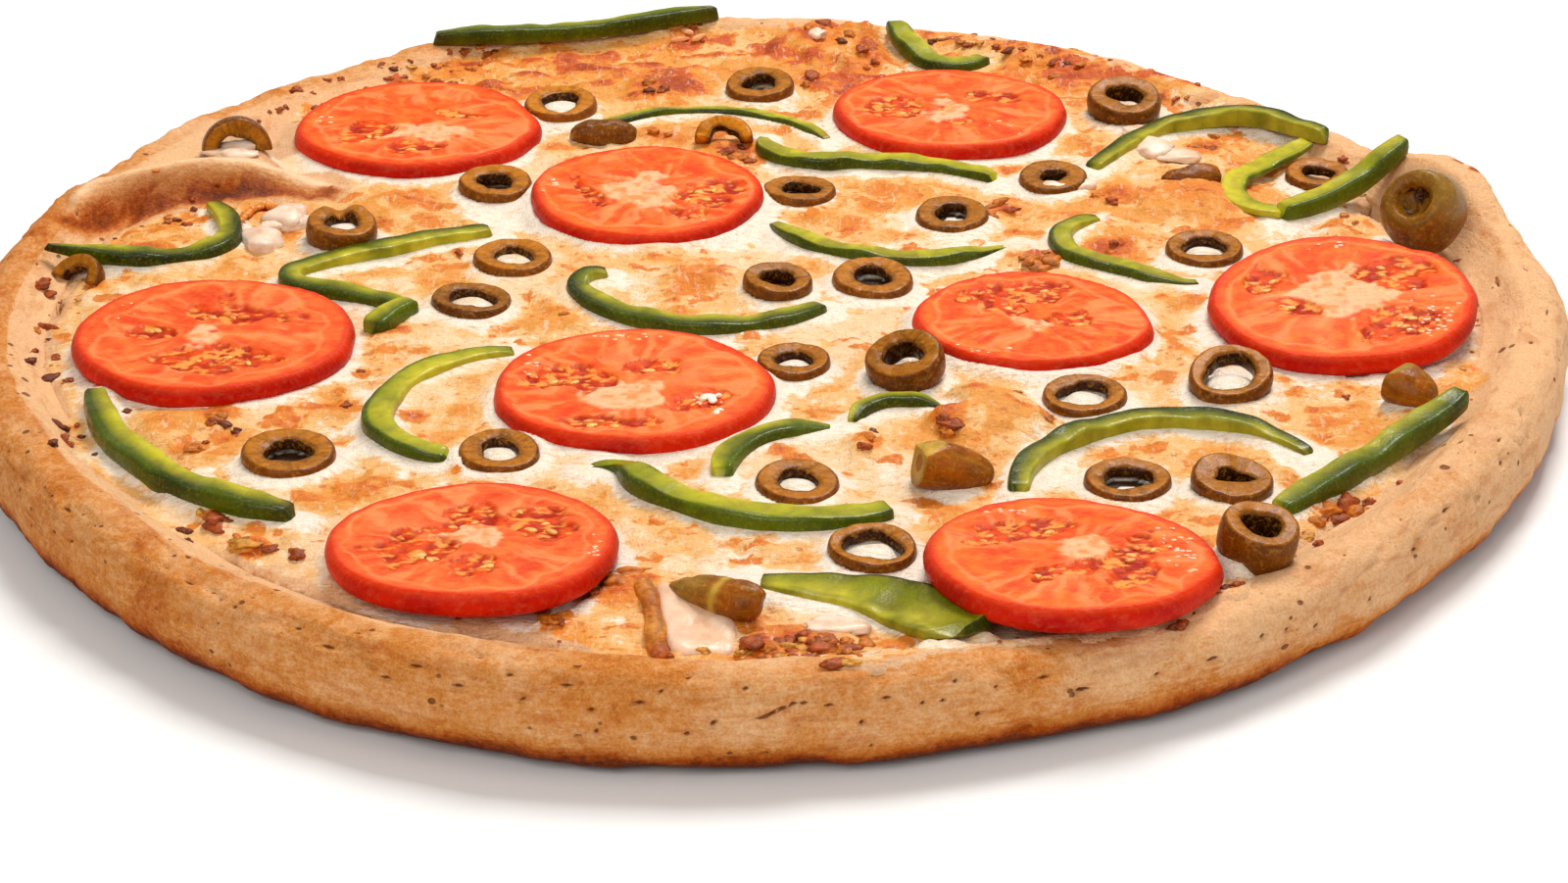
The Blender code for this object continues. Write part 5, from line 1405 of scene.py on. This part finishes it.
        for _ in range(2):
            share[1:-1] = (share[:-2] + 2 * share[1:-1] + share[2:]) / 4
            hgt[1:-1] = (hgt[:-2] + 2 * hgt[1:-1] + hgt[2:]) / 4
        q = r * share[:, None] * (1 + 0.035 * np.sin(2 * t + wave) + 0.02 * np.cos(3 * t - wave))[None, :]
        z = (hgt[:, None] - 0.5) * thick + 0 * q
        P = np.stack([q * np.cos(t), q * np.sin(t), z], -1)
        nrm = fbm3(P + 50 * k, 4.5, 3, seed)
        amp = 0.75 if kind == "lump" else 0.22
        rad = np.linalg.norm(P, axis=-1, keepdims=True)
        P = P * (1 + (amp * nrm[..., None]) / np.maximum(rad, 3.0))
        col = lerp(skin_c * 0.75, skin_c * 1.35, np.clip(0.5 + 0.6 * fbm3(P + 20 * k, 3.0, 3, seed + 1), 0, 1))
        streaks = fbm2(np.cos(t)[None, :] * 6 + 0 * z, np.sin(t)[None, :] * 6 + z * 0.15, 1.0, 3, seed + 2)
        col = lerp(col, rgb(150, 128, 86) * tone, np.clip(0.35 * streaks, 0, 0.5))
        if kind == "barrel":
            rim_ = step(0.90, 0.97, hgt)[:, None] * (share[:, None] > 0.34)
            col = lerp(col, rgb(128, 92, 44), rim_ * 0.7 + 0 * q)
            inside = step(35, 38, np.arange(44))[:, None] + 0 * q
            spots = step(-0.1, 0.35, fbm3(P + 9, 2.6, 2, seed + 6))
            col = lerp(col, lerp(rgb(132, 88, 30), rgb(44, 14, 0), spots), inside)
            # painted highlight: a grey sheen on the right side of the barrel
            col = lerp(col, rgb(150, 124, 104), 0.55 * step(0.1, 0.9, np.cos(t - 0.2))[None, :] * step(0.35, 0.6, hgt)[:, None] * (1 - inside))
        if kind == "end":
            flat = (hgt < 0.02)[:, None] + 0 * q
            col = np.where(flat[..., None] > 0, lerp(rgb(206, 172, 132), rgb(150, 112, 66), np.clip(q / r, 0, 1)), col)
        if name == "sunk_c":
            P[..., :2] *= (1 - 0.42 * hgt[:, None] + 0 * q)[..., None]
        if name == "olive_27":      # slimmer to one end, with a pale band painted as a highlight and a grey sheen painted on its back
            thin = 1 - 0.48 * hgt[:, None] + 0 * q
            P[..., :2] *= thin[..., None]
            col = lerp(col, rgb(214, 186, 152), 0.8 * np.exp(-((hgt[:, None] - 0.42) / 0.045) ** 2) + 0 * q)
            col = lerp(col, rgb(156, 130, 112), 0.6 * step(0.45, 0.7, hgt[:, None]) + 0 * q)
        P = P @ spin.T
        if name == "olive_27":
            P[..., 2] -= (1 - thin) * r
        if name in ("olive_24", "olive_30"):      # cut flat on its upper side
            up_n, deep_cut = ((-0.24, 0.06, 0.95), 1.9) if name == "olive_24" else ((-0.25, 0.25, 0.93), 1.6)
            up_n = np.array(up_n) / np.linalg.norm(up_n)
            far_n = P @ up_n
            over = np.maximum(far_n - (far_n.max() - deep_cut), 0)
            P = P - (over * 0.72)[..., None] * up_n
            # on olive_30 the flat is painted pale grey as a highlight; on olive_24 it is the pale cut flesh
            pale_c = rgb(214, 180, 148) if name == "olive_24" else rgb(170, 150, 122)
            col = lerp(col, lerp(pale_c, pale_c * 0.72, np.clip(0.5 + 0.8 * fbm3(P, 2.6, 3, seed + 5), 0, 1)), step(0.05, 0.4, over) * 0.9)
            # painted shade: darker towards the bottom
            col = lerp(col, rgb(96, 54, 12), 0.6 * step(0.0, -2.5, P[..., 2]))
        co = np.vstack([P.reshape(-1, 3), P[0].mean(0), P[-1].mean(0)])
        tint = np.vstack([col.reshape(-1, 3), col[0].mean(0), col[-1].mean(0)])
        m = 44
        faces = [grid_faces(m, n), fan(np.arange(n), m * n, True), fan(np.arange(n) + (m - 1) * n, m * n + 1)]
    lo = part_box(name)[0].z / MM if replaces else low
    co = co + np.array([cx, cy, lo - co[:, 2].min() - (2.4 if name == "olive_23" else 0.0)])
    return build("bit_" + name, co, faces, tint=np.clip(tint, 0, 1), mat=MAT_OLIVE, nodes=(name,) if replaces else ())


HOLES = {"olive_20": 0.58, "olive_26": 0.58, "olive_04": 0.50, "olive_19": 0.54, "olive_16": 0.50, "olive_15": 0.36, "olive_06": 0.52, "olive_21": 0.50}
for k, row in enumerate(OLIVES):
    olive(k, *row, hole_r=HOLES.get(row[0], 0.44))
for k, (nm, kind, px, py, dia, thick, tilt, lean, tone) in enumerate((
        ("sunk_a", "lump", 616, 143, 7.4, 15.5, 90, 0, 0.8),
        ("sunk_b", "arch", 739, 144, 13.0, 3.0, 55, -90, 1.5),
        ("sunk_c", "lump", 1216, 184, 6.4, 13.4, 90, 188, 1.0),
        ("sunk_d", "arch", 78, 289, 12.5, 3.4, 50, -120, 0.85))):
    x, y, z = at(px, py)
    olive(40 + k, nm, kind, x, y, dia, thick, tilt, lean, "n", tone, False, z - (2.2 if kind == "lump" else 1.2))


# ================================================================ crumbs, browned bits, onion
def blob(heap, x, y, z, rx, ry, rz, way, colour, seed, rough=0.35, fine=True, dark=None):
    v0, f = BALL3 if fine else BALL2
    v = v0 * (1 + rough * fbm3(v0 + seed * 3.1, 0.9, 3, seed))[:, None]
    v = v * np.array([rx, ry, rz])
    c, s = math.cos(way), math.sin(way)
    v = v @ np.array([[c, -s, 0], [s, c, 0], [0, 0, 1]]).T
    if dark is None:
        dark = colour * 0.45
    cc = lerp(colour, dark, np.clip(0.35 + 0.8 * fbm3(v0 * 1.7 + seed, 0.8, 2, seed + 3), 0, 1))
    heap.add(v + np.array([x, y, z]), f, cc)


RED, ORANGE, GOLD, DEEP = rgb(176, 76, 10), rgb(220, 122, 22), rgb(234, 164, 62), rgb(122, 46, 6)
crumbs = Heap()
# browned bits on rim and cheese: picture place, half sizes in mm across and in depth, colour
BITS = (
    (331, 83, 2.2, 1.6, 0), (346, 81, 1.6, 1.5, 0), (301, 92, 3.0, 1.6, 0), (318, 95, 1.4, 1.2, 0), (282, 112, 1.8, 2.0, 0),
    (290, 110, 1.6, 1.8, 0), (274, 114, 1.0, 1.2, 0), (388, 67, 1.6, 2.0, 0), (404, 70, 2.2, 2.4, 3), (420, 62, 1.8, 1.8, 0),
    (396, 80, 1.6, 1.4, 0), (412, 79, 1.8, 1.4, 0), (456, 52, 2.0, 3.2, 0), (472, 52, 1.6, 2.8, 0), (490, 48, 2.0, 2.2, 1),
    (455, 68, 2.4, 2.4, 1), (448, 84, 1.8, 2.2, 0), (462, 86, 2.0, 2.0, 0), (500, 62, 2.4, 2.2, 1), (480, 70, 1.8, 1.8, 1),
    (41, 290, 2.6, 3.0, 0), (50, 300, 1.8, 2.4, 0), (45, 333, 1.4, 4.4, 0), (38, 336, 1.2, 2.0, 1), (29, 369, 2.4, 1.8, 3),
    (36, 358, 1.0, 1.2, 0), (57, 365, 1.6, 2.6, 0), (49, 386, 3.2, 1.6, 3), (70, 388, 1.6, 1.6, 0), (60, 436, 2.2, 4.2, 3),
    (64, 448, 1.8, 2.6, 0), (54, 452, 1.4, 2.0, 3), (70, 454, 1.2, 1.6, 0), (222, 532, 4.6, 4.6, 0), (216, 526, 2.6, 2.6, 1),
    (188, 543, 1.8, 3.0, 3), (192, 552, 1.2, 2.4, 3), (206, 523, 1.4, 1.8, 2), (301, 566, 2.6, 2.6, 0), (254, 556, 4.6, 3.0, 2),
    (244, 551, 2.4, 2.4, 1), (276, 560, 2.6, 1.6, 0), (550, 622, 2.0, 3.2, 0), (560, 632, 2.6, 3.4, 1), (572, 636, 1.6, 2.0, 0),
    (536, 618, 2.2, 1.6, 2), (593, 598, 4.4, 4.2, 1), (612, 596, 4.0, 3.2, 2), (630, 592, 3.6, 3.0, 1), (606, 606, 2.4, 2.2, 0),
    (580, 606, 2.0, 2.4, 0), (573, 600, 1.4, 1.2, 1), (640, 583, 5.2, 1.8, 1), (770, 656, 3.4, 3.0, 0), (790, 664, 2.4, 2.2, 1),
    (822, 650, 3.8, 3.2, 0), (836, 658, 3.6, 2.8, 0), (846, 664, 3.4, 2.6, 1), (852, 676, 3.4, 1.8, 0), (826, 672, 2.4, 1.6, 0),
    (798, 674, 1.2, 1.6, 0), (806, 660, 2.0, 2.0, 2), (760, 664, 2.2, 2.0, 2), (866, 676, 2.2, 1.2, 2), (718, 664, 1.8, 1.6, 2),
    (1352, 520, 3.4, 2.8, 1), (1372, 512, 3.8, 3.6, 0), (1388, 522, 3.2, 3.4, 1), (1366, 530, 3.0, 2.4, 0), (1342, 532, 2.4, 2.2, 1),
    (1396, 512, 2.2, 1.8, 0), (1335, 548, 2.2, 1.6, 2), (1345, 556, 1.6, 1.2, 0), (1263, 597, 2.2, 1.6, 0), (1252, 600, 1.6, 1.2, 3),
    (1210, 645, 2.6, 1.8, 0), (1204, 650, 1.6, 1.0, 3), (1216, 652, 1.4, 1.2, 0), (1240, 606, 1.4, 1.0, 0), (1372, 163, 2.4, 3.0, 0),
    (1368, 170, 1.8, 2.0, 1), (1200, 101, 1.6, 1.4, 0), (1212, 100, 1.2, 1.0, 1), (1373, 405, 1.2, 1.2, 0), (1488, 266, 1.2, 1.0, 0),
    (1050, 266, 3.2, 2.6, 1), (1062, 272, 3.6, 3.0, 1), (1074, 266, 3.2, 3.2, 1), (1046, 262, 2.0, 1.6, 1), (1068, 259, 1.8, 1.6, 1),
    (1018, 208, 4.2, 1.6, 1), (1030, 214, 3.6, 1.8, 0), (1012, 218, 2.0, 2.2, 1), (740, 156, 2.6, 3.2, 0), (752, 160, 3.0, 3.0, 1),
    (764, 166, 2.4, 1.8, 0), (756, 150, 1.6, 2.4, 3), (668, 134, 2.2, 2.0, 1), (684, 138, 2.0, 1.6, 1), (664, 84, 2.6, 2.8, 1),
    (676, 90, 2.2, 2.4, 0), (664, 92, 1.8, 1.8, 3), (838, 26, 3.6, 3.2, 0), (826, 30, 2.2, 2.4, 1), (858, 42, 2.2, 2.4, 3),
    (866, 36, 3.2, 3.0, 1), (880, 50, 2.4, 2.4, 0), (826, 78, 3.0, 2.8, 0), (822, 86, 2.0, 1.8, 1), (892, 64, 1.6, 1.8, 0),
    (884, 68, 1.2, 1.4, 1), (1018, 48, 2.4, 2.0, 0), (1030, 52, 2.6, 1.8, 3), (1044, 50, 2.0, 1.6, 0), (1076, 64, 3.6, 1.8, 0),
    (1090, 66, 2.8, 1.6, 3), (1104, 66, 2.4, 1.4, 1), (1062, 58, 1.6, 1.2, 0), (1048, 62, 3.0, 2.2, 1), (1076, 78, 2.0, 1.6, 1),
    (980, 42, 2.4, 1.8, 1), (990, 46, 2.2, 1.8, 0), (1000, 44, 1.6, 1.4, 2), (952, 42, 2.0, 1.8, 3), (966, 40, 2.0, 1.4, 0),
    (222, 424, 2.6, 3.6, 1), (216, 430, 1.8, 2.4, 0), (228, 432, 1.6, 2.4, 3), (196, 458, 3.2, 2.0, 1), (241, 440, 1.4, 2.4, 3),
    (128, 420, 1.6, 1.0, 3), (210, 452, 1.4, 1.4, 0), (1138, 250, 2.6, 2.6, 0), (1130, 258, 2.0, 2.0, 1), (1120, 200, 2.6, 2.2, 1),
    (1135, 206, 2.0, 2.0, 0), (1222, 150, 2.6, 2.6, 1), (1236, 152, 2.4, 2.8, 0), (1240, 140, 1.2, 2.6, 1), (468, 258, 1.2, 2.2, 0),
    (180, 224, 1.2, 1.6, 3), (170, 228, 1.2, 1.2, 0), (188, 230, 1.8, 1.6, 0), (198, 214, 1.0, 2.2, 3), (196, 204, 0.8, 1.4, 0),
    (262, 214, 1.6, 1.2, 1), (270, 210, 1.8, 1.2, 0), (706, 30, 2.6, 1.4, 0), (716, 42, 1.6, 1.6, 0), (352, 414, 1.8, 1.8, 0),
    (367, 380, 1.6, 1.2, 0), (970, 433, 2.2, 4.2, 0), (964, 440, 2.0, 3.0, 1), (962, 426, 1.6, 2.4, 0), (1036, 401, 2.4, 1.0, 1),
    (1068, 426, 1.6, 2.4, 1), (886, 446, 2.4, 2.6, 1), (880, 456, 1.8, 2.0, 0), (892, 440, 1.2, 1.4, 3), (576, 320, 1.6, 0.9, 1),
)
for k, (px, py, rx, ry, kind) in enumerate(BITS):
    x, y, z = at(px, py)
    col = (RED, ORANGE, GOLD, DEEP)[kind]
    blob(crumbs, x, y, z, rx * 0.66, ry * 0.60, 0.20 * min(rx, ry) + 0.25, (k * 1.7) % PI * 0.35, col, 900 + k, 0.75, True)
# fine crumbs strewn near the edge of the cheese
rng = np.random.default_rng(5)
for k in range(80):
    dg = rng.uniform(-180, 180)
    e = float(np.interp(dg, EDGE_DEG, EDGE_R))
    dg_r = math.radians(dg)
    r = min(e + rng.normal(-1.5, 2.6), float(outline(dg)) - 4)
    x, y = r * math.cos(dg_r), r * math.sin(dg_r)
    sz = rng.uniform(0.35, 1.0)
    blob(crumbs, x, y, top_at(x, y) + 0.1 * sz, sz * rng.uniform(0.8, 1.6), sz, sz * 0.32, rng.uniform(0, PI), (RED, ORANGE, GOLD, DEEP)[int(rng.integers(0, 4))], 1500 + k, 0.4, False)
# a cluster of small glossy grains at the front, some more at the back edge
for k in range(74):
    if k < 46:
        px, py = rng.uniform(760, 884), 663 + 13 * rng.uniform(-1, 1)
    else:
        px, py = rng.uniform(400, 500), rng.uniform(46, 92)
    x, y, z = at(px, py)
    sz = rng.uniform(0.5, 1.5) * (1.0 if k < 46 else 0.8)
    blob(crumbs, x, y, z - 0.05, sz * rng.uniform(0.9, 2.0), sz, sz * 0.26, rng.uniform(0, PI), (RED, ORANGE, ORANGE, GOLD, rgb(206, 100, 16))[int(rng.integers(0, 5))], 1700 + k, 0.45, False)
crumbs.done("browned_crumbs", MAT_CRUMB)

onion = Heap()
WHITE_O, TAN_O = rgb(247, 220, 196), rgb(232, 188, 154)
for k, (px, py, rx, ry, rz, way) in enumerate((
        (266, 250, 4.6, 4.8, 2.5, 0.4), (256, 243, 3.8, 3.0, 1.8, -0.5), (292, 222, 4.8, 4.2, 2.6, -0.3), (283, 232, 4.2, 2.8, 1.5, 0.5), (302, 228, 4.0, 3.0, 1.3, 0.3), (1178, 152, 5.6, 4.4, 1.8, 0.1), (1205, 160, 6.0, 3.4, 1.2, 0.0),
        (1075, 193, 5.6, 2.6, 1.3, 0.0), (1160, 135, 3.4, 2.2, 1.0, 0.2), (835, 35, 2.0, 1.8, 1.2, 0.0), (1100, 192, 4.0, 2.4, 1.4, 0.2),
        (852, 640, 5.0, 3.0, 0.9, -0.2), (248, 150, 4.6, 2.4, 1.6, 0.1), (236, 158, 6.0, 2.4, 1.0, 0.0))):
    x, y, z = at(px, py)
    blob(onion, x, y, z + 0.15 * rz, rx, ry, rz, way, WHITE_O, 1800 + k, 0.42, True, TAN_O)
# browned strings of cheese at the back
for k, (px, py, rx, way) in enumerate(((690, 28, 2.8, 0.4), (700, 34, 2.6, -0.6), (712, 40, 2.8, 0.9), (694, 42, 2.4, 0.2), (704, 24, 2.0, 1.4))):
    x, y, z = at(px, py)
    blob(onion, x, y, z + 0.4, rx, 0.8, 0.7, way, rgb(248, 196, 140), 1900 + k, 0.25, False, rgb(226, 120, 50))
# an orange strand between the two at the left
path = ((214, 256), (228, 243), (242, 231), (258, 218), (270, 213), (284, 216))
for k in range(26):
    u = k / 25 * (len(path) - 1)
    i = min(int(u), len(path) - 2)
    px, py = (path[i][j] + (path[i + 1][j] - path[i][j]) * (u - i) for j in (0, 1))
    x, y, z = at(px, py)
    blob(onion, x, y, z + 1.0, 1.1, 1.0, 0.7 + 0.2 * math.sin(k), 0.6, rgb(236, 150, 56), 1950 + k, 0.3, False, rgb(214, 108, 24))
onion.done("onion_bits", MAT_ONION)


def wedge():
    """The pale wedge at the front with a strip of browned cheese along its left side."""
    out = Heap()
    corners = [(668, 596), (700, 600), (752, 634), (748, 668), (684, 668)]
    pts = [at(*c) for c in corners]
    ctr = np.mean(pts, 0)
    nb = 10
    loop = []
    for a, b in zip(pts, pts[1:] + pts[:1]):
        for k in range(nb):
            u = k / nb
            loop.append(np.array(a) * (1 - u) + np.array(b) * u)
    loop = np.array(loop)
    for _ in range(3):
        loop = (np.roll(loop, 1, 0) + 2 * loop + np.roll(loop, -1, 0)) / 4
    n = len(loop)
    rows = []
    for share, up in ((1.03, -1.4), (1.02, -0.2), (0.98, 0.5), (0.93, 0.95), (0.85, 1.25), (0.7, 1.45), (0.45, 1.5), (0.2, 1.5)):
        ring = ctr + (loop - ctr) * share
        ring[:, 2] = loop[:, 2] * 0.6 + ctr[2] * 0.4 + up * (0.8 + 0.25 * (loop[:, 1] - ctr[1]) / 12)
        rows.append(ring)
    P = np.array(rows)
    P[..., 2] += 0.45 * fbm2(P[..., 0], P[..., 1], 5.0, 3, 77)
    co = np.vstack([P.reshape(-1, 3), P[-1].mean(0), P[0].mean(0)])
    f = grid_faces(len(rows), n)
    tri = np.vstack([f[:, [0, 1, 2]], f[:, [0, 2, 3]], fan(np.arange(n) + (len(rows) - 1) * n, len(rows) * n), fan(np.arange(n), len(rows) * n + 1, True)])
    cc = lerp(rgb(244, 208, 178), rgb(226, 172, 128), np.clip(0.5 + 0.7 * fbm2(co[:, 0], co[:, 1], 5.0, 3, 78), 0, 1))
    # make the faces point outwards whatever way the corners run
    area = np.sum(loop[:, 0] * np.roll(loop[:, 1], -1) - np.roll(loop[:, 0], -1) * loop[:, 1])
    out.add(co, tri if area > 0 else tri[:, ::-1], cc)
    out.done("pale_wedge", MAT_ONION)
    bar = Heap()
    a, b = np.array(at(656, 598)), np.array(at(676, 668))
    for k in range(44):
        u = k / 43
        p = a * (1 - u) + b * u
        col = lerp(rgb(240, 156, 48), rgb(190, 78, 8), float(np.clip(0.25 + 0.3 * math.sin(5 * u) + max(0, u - 0.7) * 3, 0, 1)))
        blob(bar, p[0] + 0.5 * math.sin(5 * u), p[1], top_at(p[0], p[1]) + 0.35, 1.7 + 0.35 * u + 0.2 * math.sin(11 * u), 2.0, 1.1 + 0.15 * math.sin(6 * u), 0.0, col, 2100, 0.08, False)
    bar.done("browned_strip", MAT_CRUMB)


wedge()

# ================================================================ floor and light
fm = Mat("floor_pale")
fn = fm.noise(60.0, 2, 0.5)
fm.finish(fm.mix(fn, (0.86, 0.86, 0.855), (0.88, 0.88, 0.875)), 0.9, spec=0.1)
me = bpy.data.meshes.new("floor")
S = 6.0
me.from_pydata([(-S, -S, 0), (S, -S, 0), (S, S, 0), (-S, S, 0)], [], [(0, 1, 2, 3)])
me.materials.append(fm.m)
floor = bpy.data.objects.new("floor", me)
floor.location.z = -0.0002
bpy.context.scene.collection.objects.link(floor)

world = bpy.data.worlds.new("studio")
bpy.context.scene.world = world
world.use_nodes = True
bg = next(n for n in world.node_tree.nodes if n.type == "BACKGROUND")
bg.inputs["Color"].default_value = (1.0, 0.99, 0.97, 1.0)
bg.inputs["Strength"].default_value = 0.35


def area(name, loc, size, power, colour=(1, 1, 1), aim=(0, 0, 0)):
    l = bpy.data.lights.new(name, "AREA")
    l.shape = "SQUARE"
    l.size = size
    l.energy = power
    l.color = colour
    o = bpy.data.objects.new(name, l)
    o.location = loc
    o.rotation_euler = (Vector(aim) - Vector(loc)).to_track_quat("-Z", "Y").to_euler()
    bpy.context.scene.collection.objects.link(o)


area("key", (0.25, 0.60, 1.15), 0.5, 15.5, (1.0, 0.98, 0.95))
area("fill", (-0.40, -1.05, 0.95), 0.8, 7.6, (1.0, 0.98, 0.95))
area("side", (1.1, -0.45, 0.65), 0.6, 2.2, (1.0, 0.97, 0.93))

vs = bpy.context.scene.view_settings
vs.view_transform = "Standard"
vs.look = "None"
vs.exposure = 0.0
vs.gamma = 1.0
